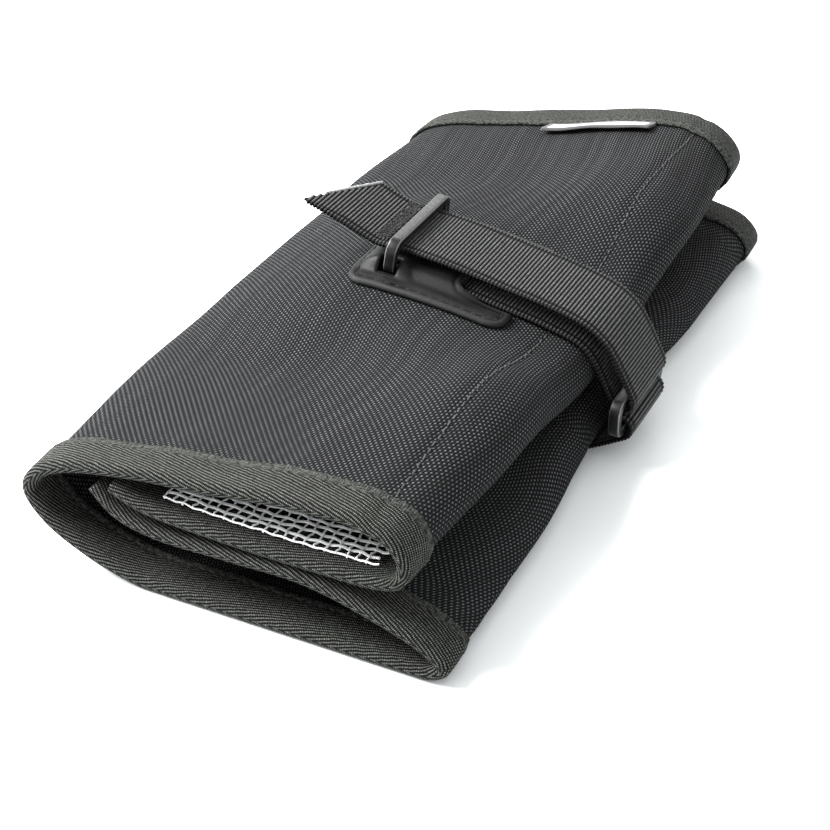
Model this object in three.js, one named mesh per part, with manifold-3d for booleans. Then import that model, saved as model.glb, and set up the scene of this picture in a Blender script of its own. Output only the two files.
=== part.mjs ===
// Folded tool roll: one canvas sheet with bound edges, held shut by a webbing strap.
// Millimetres. +X runs across the roll towards its two right-hand folds, +Y along it, +Z up.
import * as THREE from 'three';
import { mergeVertices } from 'three/addons/utils/BufferGeometryUtils.js';
import Module from 'manifold-3d';

const wasm = await Module();
wasm.setup();

// The folded roll
const BODY_LENGTH = 222;
const BODY_WIDTH = 111;
const BODY_HEIGHT = 40;
const WAIST_REACH = 45;

// Cloth, edge tape and the gaps between neighbours
const CANVAS_THICKNESS = 1.2;
const TAPE_THICKNESS = 1.0;
const TAPE_WIDTH = 11.5;
const SEAM_GAP = 0.3;
const LAYER_GAP = 0.6;
const FLOOR_RAMP = 8;

// Net pocket on the upper flap
const NET_LENGTH = 84;
const NET_THICKNESS = 1.0;
const NET_BAR = 1.3;
const NET_SETBACK = 5.5;
const NET_MARGIN = 1;
const NET_COLUMNS = 9;
const NET_ROWS = 11;

// Leather patch on the top panel
const PATCH_LENGTH = 43.5;
const PATCH_WIDTH = 44;
const PATCH_THICKNESS = 1.6;
const PATCH_CORNER = 4.5;
const NOTCH_DEPTH = 15.5;
const NOTCH_CORNER = 2.2;
const NOTCH_CLEARANCE = 0.5;
const DOME_SLOPE = 8;
const SLOT_PLAY = 1.1;
const PATCH_COLUMNS = 9;
const PATCH_ROWS = 16;
const PATCH_OVERSCAN = 1;

// Webbing strap and the tab of the same webbing
const STRAP_WIDTH = 25;
const STRAP_THICKNESS = 1.6;
const STRAP_MARGIN = 1;
const STRAP_TUCK = 7.5;
const TAIL_LENGTH = 23.2;
const TAIL_RISE = 8.4;
const TIP_SLANT = 11.5;
const TAB_LENGTH = 34;
const TAB_WRAP_END = 162;
const MITER_LIMIT = 0.5;

// Metal rings, bent from the same flat wire
const WIRE_WIDTH = 3.0;
const WIRE_THICKNESS = 2.4;
const WIRE_BEVEL = 0.45;
const RING_PLAY = 3.6;
const RING_CORNER = 3.6;
const KEEPER_HEIGHT = 10.4;
const KEEPER_LEAN = 9;
const KEEPER_PLAY = 0.6;
const CINCH_HEIGHT = 10.4;
const CINCH_STANDOFF = 2.1;
const CINCH_LIFT = 9;

// Folded cloth label by the far edge
const LABEL_WIDTH = 34;
const LABEL_LENGTH = 7;
const LABEL_THICKNESS = 1.0;
const LABEL_LIFT = 1.2;
const LABEL_COLUMNS = 8;
const LABEL_ROWS = 3;

// Where things sit across the roll, as shares of the body's width
const PLACE = { patchLeft: 0.347, keeperRing: 0.4345, labelLeft: 0.414, netRight: 0.82 };

// The fold line of the sheet, one row for each bend, from one flap's free end to the other's.
// Columns: name, bound layers of cloth beneath it, then pairs of x and z shares
// at the near end, under the strap and at the far end, and what is added midway to the strap.
// x is a share of the body's width and z a share of the air between the layers.
const FOLD_COLUMNS = ['name', 'layers', 'near', 'waist', 'far', 'belly'];
const FOLD_ROWS = [
  ['upper flap end', 2, [0.225, 0.73], [0.225, 0.73], [0.225, 0.71], [0, 0]],
  ['upper flap rise', 2, [0.288, 0.6], [0.288, 0.58], [0.288, 0.6], [0, 0]],
  ['upper flap middle', 2, [0.495, 0.52], [0.495, 0.43], [0.495, 0.54], [0, 0]],
  ['upper flap right', 2, [0.72, 0.51], [0.72, 0.35], [0.72, 0.58], [0, 0]],
  ['upper fold underside', 2, [0.838, 0.53], [0.865, 0.35], [0.847, 0.63], [0, 0.02]],
  ['upper fold lower quarter', 2.25, [0.881, 0.565], [0.917, 0.37], [0.896, 0.66], [0.03, 0.03]],
  ['upper fold edge', 2.5, [0.895, 0.71], [0.932, 0.51], [0.919, 0.85], [0.035, 0.04]],
  ['upper fold shoulder', 2.75, [0.869, 0.9], [0.901, 0.68], [0.887, 1.04], [0.03, 0.08]],
  ['upper fold crest', 3, [0.802, 0.985], [0.82, 0.77], [0.82, 1.165], [0.01, 0.11]],
  ['top right', 3, [0.703, 0.995], [0.703, 0.88], [0.725, 1.175], [0, 0.08]],
  ['top middle', 3, [0.495, 0.885], [0.495, 1.05], [0.495, 0.95], [0, 0]],
  ['top left', 3, [0.297, 0.78], [0.333, 1.057], [0.297, 0.765], [0, 0]],
  ['top by left fold', 3, [0.112, 0.6], [0.12, 0.75], [0.11, 0.575], [-0.008, 0.03]],
  ['left fold shoulder', 2.5, [0.038, 0.52], [0.018, 0.58], [0.022, 0.485], [-0.018, 0.05]],
  ['left fold edge', 1.5, [0.01, 0.475], [-0.005, 0.48], [-0.01, 0.435], [-0.018, 0.04]],
  ['left fold lower quarter', 0.5, [0.045, 0.385], [0.034, 0.33], [0.028, 0.31], [-0.012, 0]],
  ['bottom by left fold', 0, [0.133, 0.215], [0.126, 0.11], [0.122, 0.15], [0, 0]],
  ['bottom left', 0, [0.279, 0], [0.279, 0], [0.279, 0], [0, 0]],
  ['bottom middle', 0, [0.54, 0], [0.54, 0], [0.54, 0], [0, 0]],
  ['bottom right', 0, [0.838, 0], [0.82, 0], [0.856, 0], [0, 0]],
  ['lower fold underside', 0, [0.943, 0], [0.91, 0], [0.949, 0], [-0.01, 0]],
  ['lower fold edge', 0.5, [0.98, 0.03], [0.953, 0.11], [0.992, 0.126], [-0.004, 0.02]],
  ['lower fold top', 1, [0.943, 0.1], [0.919, 0.25], [0.958, 0.257], [-0.004, 0.03]],
  ['lower flap right', 1, [0.838, 0.309], [0.82, 0.33], [0.865, 0.387], [0, 0]],
  ['lower flap inner right', 1, [0.676, 0.5], [0.676, 0.33], [0.676, 0.53], [0, 0]],
  ['lower flap middle', 1, [0.495, 0.5], [0.495, 0.4], [0.495, 0.52], [0, 0]],
  ['lower flap left', 1, [0.315, 0.5], [0.315, 0.487], [0.315, 0.509], [0, 0]],
  ['lower flap rise', 1, [0.23, 0.62], [0.23, 0.62], [0.23, 0.62], [0, 0]],
  ['lower flap end', 1, [0.18, 0.857], [0.18, 0.857], [0.18, 0.857], [0, 0]],
];
const STEPS_PER_FOLD = 2;
const MIDDLE_STATIONS = 5;
const RUN_STEPS = 9;
const LEAVE_STEPS = 48;
const TURN_STEPS = 10;
const SEARCH_STEPS = 30;
const ARC_DIVISIONS = 400;
const TANGENT_STEP = 0.25;
const BEND_MARGIN = 0.15;
const CORNER_STEPS = 4;
const WIRE_CORNER_STEPS = 2;

// The strap's tail beyond the keeper ring. Columns: share of its length, share of its rise
const TAIL_ROWS = [[0.1, 0.02], [0.3, 0.22], [0.55, 0.5], [1, 1]];

const HALF_LENGTH = BODY_LENGTH / 2;
const HALF_CANVAS = CANVAS_THICKNESS / 2;
const TAPE_INSIDE = HALF_CANVAS + SEAM_GAP;
const TAPE_OUTSIDE = TAPE_INSIDE + TAPE_THICKNESS;
const LAYER_PITCH = 2 * TAPE_OUTSIDE + LAYER_GAP;
const AIR_HEIGHT = BODY_HEIGHT - 2 * TAPE_OUTSIDE - 3 * LAYER_PITCH;
const STRAP_PLATEAU = STRAP_WIDTH / 2 + STRAP_MARGIN;
const STRAP_OFFSET = HALF_CANVAS + SEAM_GAP + STRAP_THICKNESS / 2;
const KEEPER_TIP = WIRE_WIDTH / 2 * Math.sin(THREE.MathUtils.degToRad(KEEPER_LEAN));
const KEEPER_CEILING = HALF_CANVAS + SEAM_GAP + KEEPER_HEIGHT - WIRE_THICKNESS;
const RETURN_OFFSET = KEEPER_CEILING - KEEPER_PLAY - STRAP_THICKNESS / 2;
const RING_HALF_INSIDE = (STRAP_WIDTH + RING_PLAY) / 2;
const RING_HALF_OUTSIDE = RING_HALF_INSIDE + WIRE_THICKNESS;

const smooth = (value) => THREE.MathUtils.smoothstep(value, 0, 1);
const acrossAt = (share) => (share - 0.5) * BODY_WIDTH;

const FOLDS = FOLD_ROWS.map((row) => (
  Object.fromEntries(FOLD_COLUMNS.map((column, i) => [column, row[i]]))));
const LAST_FOLD = FOLDS.length - 1;
const foldParam = (name) => FOLDS.findIndex((fold) => fold.name === name) / LAST_FOLD;

// Height of the bottom panel's middle plane: on the tape at the ends, on the tab under the strap
function restHeight(y) {
  const distance = Math.abs(y);
  const tape = smooth((distance - (HALF_LENGTH - TAPE_WIDTH - FLOOR_RAMP)) / FLOOR_RAMP);
  const tab = smooth((STRAP_PLATEAU + FLOOR_RAMP - distance) / FLOOR_RAMP);
  const tabLift = STRAP_THICKNESS + SEAM_GAP;
  return HALF_CANVAS + tape * (TAPE_OUTSIDE - HALF_CANVAS) + tab * tabLift;
}

// Share of the strap's squeeze that is felt at this place along the roll
function waistShare(y) {
  const beyond = THREE.MathUtils.clamp((Math.abs(y) - STRAP_PLATEAU) / WAIST_REACH, 0, 1);
  return Math.cos(beyond * Math.PI / 2) ** 2;
}

// Middle line of the folded cloth in the plane across the roll at y
const foldCurves = new Map();
function foldCurve(y) {
  const key = y.toFixed(4);
  if (!foldCurves.has(key)) {
    const along = (y + HALF_LENGTH) / BODY_LENGTH;
    const waist = waistShare(y);
    const belly = Math.sin(Math.PI * Math.abs(y) / HALF_LENGTH) ** 2;
    const points = FOLDS.map((fold) => {
      const share = (axis) => {
        const straight = THREE.MathUtils.lerp(fold.near[axis], fold.far[axis], along);
        const free = straight + belly * fold.belly[axis];
        return THREE.MathUtils.lerp(free, fold.waist[axis], waist);
      };
      const lowest = THREE.MathUtils.lerp(restHeight(y), TAPE_OUTSIDE, Math.min(fold.layers, 1));
      const z = lowest + fold.layers * LAYER_PITCH + share(1) * AIR_HEIGHT;
      return new THREE.Vector3(acrossAt(share(0)), y, z);
    });
    const curve = new THREE.CatmullRomCurve3(points, false, 'centripetal');
    curve.arcLengthDivisions = ARC_DIVISIONS;
    foldCurves.set(key, curve);
  }
  return foldCurves.get(key);
}

function middlePoint(param, y) {
  const point = foldCurve(y).getPoint(THREE.MathUtils.clamp(param, 0, 1));
  point.z = Math.max(point.z, restHeight(y));
  return point;
}

// Point at a distance from the cloth's middle plane, positive towards the face inside the folds
function clothPoint(param, y, offset) {
  const step = TANGENT_STEP / LAST_FOLD / STEPS_PER_FOLD;
  const ahead = middlePoint(param + step, y);
  const behind = middlePoint(param - step, y);
  const along = ahead.sub(behind).normalize();
  const point = middlePoint(param, y);
  return point.add(new THREE.Vector3(-along.z, 0, along.x).multiplyScalar(offset));
}

// Parameter of the cloth at a distance from the sheet's first or last end
function paramFromEnd(distance, y, fromLastEnd) {
  const curve = foldCurve(y);
  return curve.getUtoTmapping(0, fromLastEnd ? curve.getLength() - distance : distance);
}

// Parameter where a run of cloth between two rows passes x
function paramAtX(x, y, firstRow, lastRow) {
  let low = foldParam(firstRow);
  let high = foldParam(lastRow);
  const rising = middlePoint(high, y).x > middlePoint(low, y).x;
  for (let i = 0; i < SEARCH_STEPS; i++) {
    const middle = (low + high) / 2;
    if ((middlePoint(middle, y).x < x) === rising) low = middle;
    else high = middle;
  }
  return (low + high) / 2;
}
const topParam = (x, y) => paramAtX(x, y, 'upper fold shoulder', 'left fold shoulder');
const upperFlapParam = (x, y) => paramAtX(x, y, 'upper flap end', 'upper fold lower quarter');

function signedVolume(positions, faces) {
  const [a, b, c] = [new THREE.Vector3(), new THREE.Vector3(), new THREE.Vector3()];
  return faces.reduce((sum, face) => {
    [a, b, c].forEach((corner, i) => corner.copy(positions[face[i]]));
    return sum + a.dot(b.cross(c)) / 6;
  }, 0);
}

// Closed geometry from points and triangles, with its faces turned outwards
function closedGeometry(positions, faces) {
  const outward = signedVolume(positions, faces) > 0;
  const turned = outward ? faces : faces.map(([i, j, k]) => [i, k, j]);
  const geometry = new THREE.BufferGeometry().setFromPoints(positions);
  geometry.setIndex(turned.flat());
  geometry.computeVertexNormals();
  return geometry;
}

// Quads across a ring whose points run out along one face and back along the other
function stripQuads(count, from = 0) {
  return Array.from({ length: count / 2 - 1 }, (_, i) => (
    [from + i, from + i + 1, from + count - 2 - i, from + count - 1 - i]));
}

// Closed solid through rings of points. Both ends are closed by quads of ring places in ring order
function loft(rings, endQuads) {
  const count = rings[0].length;
  const lastRing = (rings.length - 1) * count;
  const faces = [];
  const addQuad = (a, b, c, d) => faces.push([a, b, c], [a, c, d]);
  for (let ring = 0; ring < rings.length - 1; ring++) {
    for (let i = 0; i < count; i++) {
      const [a, b] = [ring * count + i, ring * count + (i + 1) % count];
      addQuad(a, b, b + count, a + count);
    }
  }
  for (const corners of endQuads) {
    addQuad(...corners.toReversed());
    addQuad(...corners.map((i) => lastRing + i));
  }
  return closedGeometry(rings.flat(), faces);
}

// Places along the roll where the cloth has a section, from the near end to the far one
function stations(halfLength) {
  const outer = HALF_LENGTH - TAPE_WIDTH - FLOOR_RAMP;
  const inner = STRAP_PLATEAU + FLOOR_RAMP;
  const half = [STRAP_PLATEAU];
  for (let i = 0; i <= MIDDLE_STATIONS; i++) {
    half.push(THREE.MathUtils.lerp(inner, outer, i / MIDDLE_STATIONS));
  }
  half.push(HALF_LENGTH - TAPE_WIDTH);
  const kept = half.filter((y) => y < halfLength - SEAM_GAP);
  kept.push(halfLength);
  return [...kept.map((y) => -y).reverse(), ...kept];
}

// Parameters of the cloth's bends that lie between two given ones
function bendsBetween(from, to) {
  const steps = LAST_FOLD * STEPS_PER_FOLD;
  const margin = BEND_MARGIN / steps;
  const all = Array.from({ length: steps + 1 }, (_, i) => i / steps);
  return all.filter((param) => param > from + margin && param < to - margin);
}

function canvasShell() {
  const margin = TAPE_THICKNESS + SEAM_GAP;
  const bends = bendsBetween(paramFromEnd(margin, 0, false), paramFromEnd(margin, 0, true));
  const rings = stations(HALF_LENGTH - margin).map((y) => {
    const params = [paramFromEnd(margin, y, false), ...bends, paramFromEnd(margin, y, true)];
    const outside = params.map((param) => clothPoint(param, y, -HALF_CANVAS));
    const inside = params.map((param) => clothPoint(param, y, HALF_CANVAS));
    return [...outside, ...inside.reverse()];
  });
  return loft(rings, stripQuads(rings[0].length));
}

// The tape folded over the near (-1) or far (+1) long edge of the sheet
function edgeBinding(end) {
  const edge = end * HALF_LENGTH;
  const fold = edge - end * TAPE_THICKNESS;
  const hem = edge - end * TAPE_WIDTH;
  const section = [
    [-TAPE_OUTSIDE, edge], [TAPE_OUTSIDE, edge], [TAPE_OUTSIDE, hem], [TAPE_INSIDE, hem],
    [TAPE_INSIDE, fold], [-TAPE_INSIDE, fold], [-TAPE_INSIDE, hem], [-TAPE_OUTSIDE, hem],
  ];
  const params = [0, ...bendsBetween(0, 1), 1];
  const rings = params.map((param) => section.map(([offset, y]) => clothPoint(param, y, offset)));
  return loft(rings, [[1, 2, 3, 4], [0, 1, 4, 5], [0, 5, 6, 7]]);
}

// The tape folded over the free end of the upper or the lower flap, between the edge tapes
function flapBinding(lowerFlap) {
  const bendStart = paramFromEnd(TAPE_THICKNESS, 0, lowerFlap);
  const bendEnd = paramFromEnd(TAPE_WIDTH, 0, lowerFlap);
  const between = bendsBetween(Math.min(bendStart, bendEnd), Math.max(bendStart, bendEnd));
  const bends = lowerFlap ? between.reverse() : between;
  const rings = stations(HALF_LENGTH - TAPE_WIDTH - SEAM_GAP).map((y) => {
    const [end, fold, hem] = [0, TAPE_THICKNESS, TAPE_WIDTH].map((d) => paramFromEnd(d, y, lowerFlap));
    const arm = (params, offset) => params.map((param) => clothPoint(param, y, offset));
    return [
      ...arm([end, ...bends, hem], TAPE_OUTSIDE),
      ...arm([hem, ...bends.toReversed(), fold], TAPE_INSIDE),
      ...arm([fold, ...bends, hem], -TAPE_INSIDE),
      ...arm([hem, ...bends.toReversed(), end], -TAPE_OUTSIDE),
    ];
  });
  const half = rings[0].length / 2;
  const foldQuad = [0, half - 1, half, 2 * half - 1];
  return loft(rings, [...stripQuads(half), ...stripQuads(half, half), foldQuad]);
}

// Lines of a grid of bars: both sides of each bar, with even gaps between
function barLines(from, to, gaps) {
  const pitch = (to - from - NET_BAR) / gaps;
  const sides = Array.from({ length: gaps + 1 }, (_, i) => from + i * pitch);
  return sides.flatMap((side) => [side, side + NET_BAR]);
}

// Net pocket: a sheet cut through by a grid of gaps, over the inner face of the upper flap and its tape
function netPocket() {
  const nearEdge = -HALF_LENGTH + NET_SETBACK;
  const leftEdge = middlePoint(paramFromEnd(TAPE_WIDTH, nearEdge, false), nearEdge).x + NET_MARGIN;
  const across = barLines(leftEdge, acrossAt(PLACE.netRight), NET_COLUMNS);
  const along = barLines(nearEdge, nearEdge + NET_LENGTH, NET_ROWS);
  const low = TAPE_OUTSIDE + SEAM_GAP;
  const levels = [low, low + NET_THICKNESS];
  const index = (i, j, level) => (level * along.length + j) * across.length + i;
  const positions = levels.flatMap((offset) => along.flatMap((y) => (
    across.map((x) => clothPoint(upperFlapParam(x, y), y, offset)))));
  const inGrid = (i, j) => i >= 0 && j >= 0 && i < across.length - 1 && j < along.length - 1;
  const solid = (i, j) => inGrid(i, j) && !(i % 2 === 1 && j % 2 === 1);
  const faces = [];
  const quad = (a, b, c, d) => faces.push([a, b, c], [a, c, d]);
  for (let j = 0; j < along.length - 1; j++) {
    for (let i = 0; i < across.length - 1; i++) {
      if (!solid(i, j)) continue;
      const corners = [[i, j], [i + 1, j], [i + 1, j + 1], [i, j + 1]];
      const [under, over] = [0, 1].map((level) => corners.map(([u, v]) => index(u, v, level)));
      quad(...over);
      quad(...under.toReversed());
      const neighbours = [[i, j - 1], [i + 1, j], [i, j + 1], [i - 1, j]];
      neighbours.forEach(([u, v], side) => {
        const next = (side + 1) % 4;
        if (!solid(u, v)) quad(under[side], under[next], over[next], over[side]);
      });
    }
  }
  return closedGeometry(positions, faces);
}

// Slab that follows the top panel between two heights above the cloth
function drapedSlab({ xFrom, xTo, yFrom, yTo, columns, rows, low, high }) {
  const lines = (from, to, count) => (
    Array.from({ length: count + 1 }, (_, i) => THREE.MathUtils.lerp(from, to, i / count)));
  const across = lines(xFrom, xTo, columns);
  const rings = lines(yFrom, yTo, rows).map((y) => {
    const side = (height) => (
      across.map((x) => clothPoint(topParam(x, y), y, -HALF_CANVAS - height(x, y))));
    return [...side(low), ...side(high).reverse()];
  });
  return loft(rings, stripQuads(rings[0].length));
}

const PATCH_LEFT = acrossAt(PLACE.patchLeft);
const PATCH_RIGHT = PATCH_LEFT + PATCH_LENGTH;
const NOTCH_LEFT = PATCH_RIGHT - NOTCH_DEPTH;
const KEEPER_X = acrossAt(PLACE.keeperRing);

// Height of the patch's underside above the canvas: it lies over the ring's foot and the strap's end
function patchHeight(x, y) {
  const crest = Math.max(WIRE_THICKNESS + 2 * KEEPER_TIP, STRAP_THICKNESS) + SEAM_GAP;
  const fromLeft = smooth((x - (KEEPER_X - WIRE_WIDTH - DOME_SLOPE)) / DOME_SLOPE);
  const fromRight = smooth((NOTCH_LEFT + DOME_SLOPE - x) / DOME_SLOPE);
  const flatFrom = RING_HALF_OUTSIDE + SLOT_PLAY;
  const fromSide = smooth((flatFrom - Math.abs(y)) / (flatFrom - RING_HALF_INSIDE));
  return SEAM_GAP + crest * fromLeft * fromRight * fromSide;
}

function roundedRectangle(shape, left, right, bottom, top, radius) {
  shape.moveTo(left + radius, bottom);
  shape.lineTo(right - radius, bottom);
  shape.absarc(right - radius, bottom + radius, radius, -Math.PI / 2, 0, false);
  shape.lineTo(right, top - radius);
  shape.absarc(right - radius, top - radius, radius, 0, Math.PI / 2, false);
  shape.lineTo(left + radius, top);
  shape.absarc(left + radius, top - radius, radius, Math.PI / 2, Math.PI, false);
  shape.lineTo(left, bottom + radius);
  shape.absarc(left + radius, bottom + radius, radius, Math.PI, 1.5 * Math.PI, false);
  return shape;
}

function toManifold(geometry) {
  const bare = geometry.clone();
  bare.deleteAttribute('normal');
  bare.deleteAttribute('uv');
  const merged = mergeVertices(bare, 1e-4);
  const vertProperties = new Float32Array(merged.attributes.position.array);
  const triVerts = new Uint32Array(merged.index.array);
  return new wasm.Manifold(new wasm.Mesh({ numProp: 3, vertProperties, triVerts }));
}

function fromManifold(solid) {
  const mesh = solid.getMesh();
  const geometry = new THREE.BufferGeometry();
  geometry.setAttribute('position', new THREE.BufferAttribute(new Float32Array(mesh.vertProperties), 3));
  geometry.setIndex(Array.from(mesh.triVerts));
  geometry.computeVertexNormals();
  return geometry;
}

// Leather patch: rounded, notched on its right for the strap, slotted for the keeper ring's legs
function leatherPatch() {
  const half = PATCH_WIDTH / 2;
  const slab = drapedSlab({
    xFrom: PATCH_LEFT - PATCH_OVERSCAN, xTo: PATCH_RIGHT + PATCH_OVERSCAN,
    yFrom: -half - PATCH_OVERSCAN, yTo: half + PATCH_OVERSCAN,
    columns: PATCH_COLUMNS, rows: PATCH_ROWS,
    low: patchHeight, high: (x, y) => patchHeight(x, y) + PATCH_THICKNESS,
  });
  const prism = (shape) => {
    const depth = 3 * BODY_HEIGHT;
    const options = { depth, bevelEnabled: false, curveSegments: CORNER_STEPS };
    const geometry = new THREE.ExtrudeGeometry(shape, options);
    return toManifold(geometry.translate(0, 0, -BODY_HEIGHT));
  };
  const rectangle = (...sides) => roundedRectangle(new THREE.Shape(), ...sides);
  const outline = rectangle(PATCH_LEFT, PATCH_RIGHT, -half, half, PATCH_CORNER);
  const notchHalf = STRAP_WIDTH / 2 + NOTCH_CLEARANCE;
  const notch = rectangle(NOTCH_LEFT, PATCH_RIGHT + NOTCH_DEPTH, -notchHalf, notchHalf, NOTCH_CORNER);
  let patch = toManifold(slab).intersect(prism(outline)).subtract(prism(notch));
  const slotHalf = WIRE_WIDTH / 2 + SLOT_PLAY;
  const slotInside = RING_HALF_OUTSIDE - RING_CORNER - SEAM_GAP;
  const slotOutside = RING_HALF_OUTSIDE + SEAM_GAP;
  for (const side of [-1, 1]) {
    const [from, to] = [side * slotInside, side * slotOutside].sort((a, b) => a - b);
    const slot = rectangle(KEEPER_X - slotHalf, KEEPER_X + slotHalf, from, to, SEAM_GAP);
    patch = patch.subtract(prism(slot));
  }
  return fromManifold(patch);
}

// Flat webbing along a line of points in the plane across the roll, cut on a slant at its last end
function webbing(line, slant) {
  const half = STRAP_THICKNESS / 2;
  const rings = line.map((point, i) => {
    const into = point.clone().sub(line[Math.max(i - 1, 0)]).normalize();
    const out = line[Math.min(i + 1, line.length - 1)].clone().sub(point).normalize();
    const along = into.clone().add(out).normalize();
    const miter = i > 0 ? half / Math.max(MITER_LIMIT, along.dot(into)) : half;
    const cutBack = i === line.length - 1 ? slant : 0;
    const corner = (side, face) => {
      const back = side > 0 ? cutBack : 0;
      const x = point.x - along.x * back - face * along.y * miter;
      const z = point.y - along.y * back + face * along.x * miter;
      return new THREE.Vector3(x, side * STRAP_WIDTH / 2, z);
    };
    return [corner(-1, -1), corner(1, -1), corner(1, 1), corner(-1, 1)];
  });
  return loft(rings, [[0, 1, 2, 3]]);
}

const offsetLine = (param, offset) => {
  const point = clothPoint(param, 0, -offset);
  return new THREE.Vector2(point.x, point.z);
};

function offsetRun(fromParam, toParam, offset, count) {
  return Array.from({ length: count + 1 }, (_, i) => (
    offsetLine(THREE.MathUtils.lerp(fromParam, toParam, i / count), offset)));
}

// Where a straight line from a point touches a circle that lies on its left (1) or its right (-1)
function touchPoint(point, centre, radius, side) {
  const towards = centre.clone().sub(point);
  const reach = Math.sqrt(towards.lengthSq() - radius ** 2);
  const heading = towards.angle() - side * Math.asin(radius / towards.length());
  return new THREE.Vector2(Math.cos(heading), Math.sin(heading)).multiplyScalar(reach).add(point);
}

// Run that follows the cloth round a fold until it can leave for the circle in a straight line.
// bend is the way the run turns round the fold: 1 anticlockwise, -1 clockwise
function runToCircle(fromParam, toParam, offset, bend, centre, radius, side) {
  const run = offsetRun(fromParam, toParam, offset, LEAVE_STEPS);
  const leaves = run.findIndex((point, i) => {
    if (i >= LEAVE_STEPS) return true;
    const tangent = run[i + 1].clone().sub(point);
    return i > 0 && bend * tangent.cross(touchPoint(point, centre, radius, side).sub(point)) <= 0;
  });
  const last = THREE.MathUtils.lerp(fromParam, toParam, leaves / LEAVE_STEPS);
  return offsetRun(fromParam, last, offset, RUN_STEPS);
}

// Points anticlockwise round a circle
function wrap(centre, radius, fromAngle, toAngle, count) {
  const end = toAngle < fromAngle ? toAngle + 2 * Math.PI : toAngle;
  return Array.from({ length: count + 1 }, (_, i) => {
    const angle = fromAngle + (end - fromAngle) * i / count;
    return new THREE.Vector2(Math.cos(angle), Math.sin(angle)).multiplyScalar(radius).add(centre);
  });
}

const WRAP_RADIUS = Math.hypot(WIRE_WIDTH, WIRE_THICKNESS) / 2 + SEAM_GAP + STRAP_THICKNESS / 2;
const LOWER_EDGE = middlePoint(foldParam('lower fold edge'), 0).x + HALF_CANVAS;
const CINCH_X = LOWER_EDGE + CINCH_STANDOFF + 2 * SEAM_GAP + STRAP_THICKNESS + WIRE_WIDTH / 2;
const CINCH_BARS = {
  top: new THREE.Vector2(CINCH_X, CINCH_LIFT + CINCH_HEIGHT - WIRE_THICKNESS / 2),
  bottom: new THREE.Vector2(CINCH_X, CINCH_LIFT + WIRE_THICKNESS / 2),
};

// The strap: out of the patch, over the upper fold, round the cinch ring and back through the keeper
function strapLine() {
  const edge = foldParam('upper fold edge');
  const bar = CINCH_BARS.top;
  const start = topParam(NOTCH_LEFT - STRAP_TUCK, 0);
  const out = runToCircle(start, edge, STRAP_OFFSET, -1, bar, WRAP_RADIUS, 1);
  const keeperEdge = topParam(KEEPER_X + WIRE_WIDTH, 0);
  const back = runToCircle(keeperEdge, edge, RETURN_OFFSET, -1, bar, WRAP_RADIUS, -1).reverse();
  const goingIn = touchPoint(out.at(-1), bar, WRAP_RADIUS, 1).sub(bar).angle();
  const comingOut = touchPoint(back[0], bar, WRAP_RADIUS, -1).sub(bar).angle();
  const turn = wrap(bar, WRAP_RADIUS, goingIn, comingOut, TURN_STEPS);
  const keeper = offsetLine(topParam(KEEPER_X - WIRE_WIDTH, 0), RETURN_OFFSET);
  const tail = TAIL_ROWS.map(([run, rise]) => (
    new THREE.Vector2(keeper.x - run * TAIL_LENGTH, keeper.y + rise * TAIL_RISE)));
  return [...out, ...turn, ...back, keeper, ...tail];
}

// The tab: from under the bottom panel, up past the lower fold and round the cinch ring's lower bar
function tabLine() {
  const bar = CINCH_BARS.bottom;
  const foldX = middlePoint(foldParam('lower fold underside'), 0).x;
  const start = paramAtX(foldX - TAB_LENGTH, 0, 'bottom left', 'lower fold underside');
  const under = runToCircle(start, foldParam('lower fold edge'), STRAP_OFFSET, 1, bar, WRAP_RADIUS, 1);
  const goingIn = touchPoint(under.at(-1), bar, WRAP_RADIUS, 1).sub(bar).angle();
  const end = THREE.MathUtils.degToRad(TAB_WRAP_END);
  return [...under, ...wrap(bar, WRAP_RADIUS, goingIn, end, TURN_STEPS)];
}

// Rectangular ring of flat wire, standing across the roll's end view with its foot at the origin
function ring(height) {
  const outer = RING_HALF_OUTSIDE;
  const inner = RING_HALF_INSIDE;
  const shape = roundedRectangle(new THREE.Shape(), -outer, outer, 0, height, RING_CORNER);
  const hole = roundedRectangle(
    new THREE.Path(), -inner, inner, WIRE_THICKNESS, height - WIRE_THICKNESS, RING_CORNER - WIRE_THICKNESS);
  shape.holes.push(hole);
  const depth = WIRE_WIDTH - 2 * WIRE_BEVEL;
  const geometry = new THREE.ExtrudeGeometry(shape, {
    depth, curveSegments: WIRE_CORNER_STEPS, bevelSegments: 1,
    bevelThickness: WIRE_BEVEL, bevelSize: WIRE_BEVEL, bevelOffset: -WIRE_BEVEL,
  });
  geometry.translate(0, 0, -depth / 2);
  return geometry.rotateX(Math.PI / 2).rotateZ(Math.PI / 2);
}

function label() {
  const back = HALF_LENGTH - TAPE_WIDTH - SEAM_GAP;
  const left = acrossAt(PLACE.labelLeft);
  const lift = (x, y) => SEAM_GAP + LABEL_LIFT * smooth((back - y) / LABEL_LENGTH);
  return drapedSlab({
    xFrom: left, xTo: left + LABEL_WIDTH, yFrom: back - LABEL_LENGTH, yTo: back,
    columns: LABEL_COLUMNS, rows: LABEL_ROWS, low: lift, high: (x, y) => lift(x, y) + LABEL_THICKNESS,
  });
}

const FINISH = {
  canvas: { color: 0x3b3c3e, roughness: 0.92, metalness: 0 },
  tape: { color: 0x45453f, roughness: 0.85, metalness: 0 },
  webbing: { color: 0x3a3b3c, roughness: 0.7, metalness: 0 },
  leather: { color: 0x3c3d3e, roughness: 0.5, metalness: 0 },
  net: { color: 0xe4e4e2, roughness: 0.8, metalness: 0 },
  gunmetal: { color: 0x6c6d6f, roughness: 0.35, metalness: 0.9 },
  label: { color: 0x2c2c2d, roughness: 0.8, metalness: 0 },
};

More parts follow.
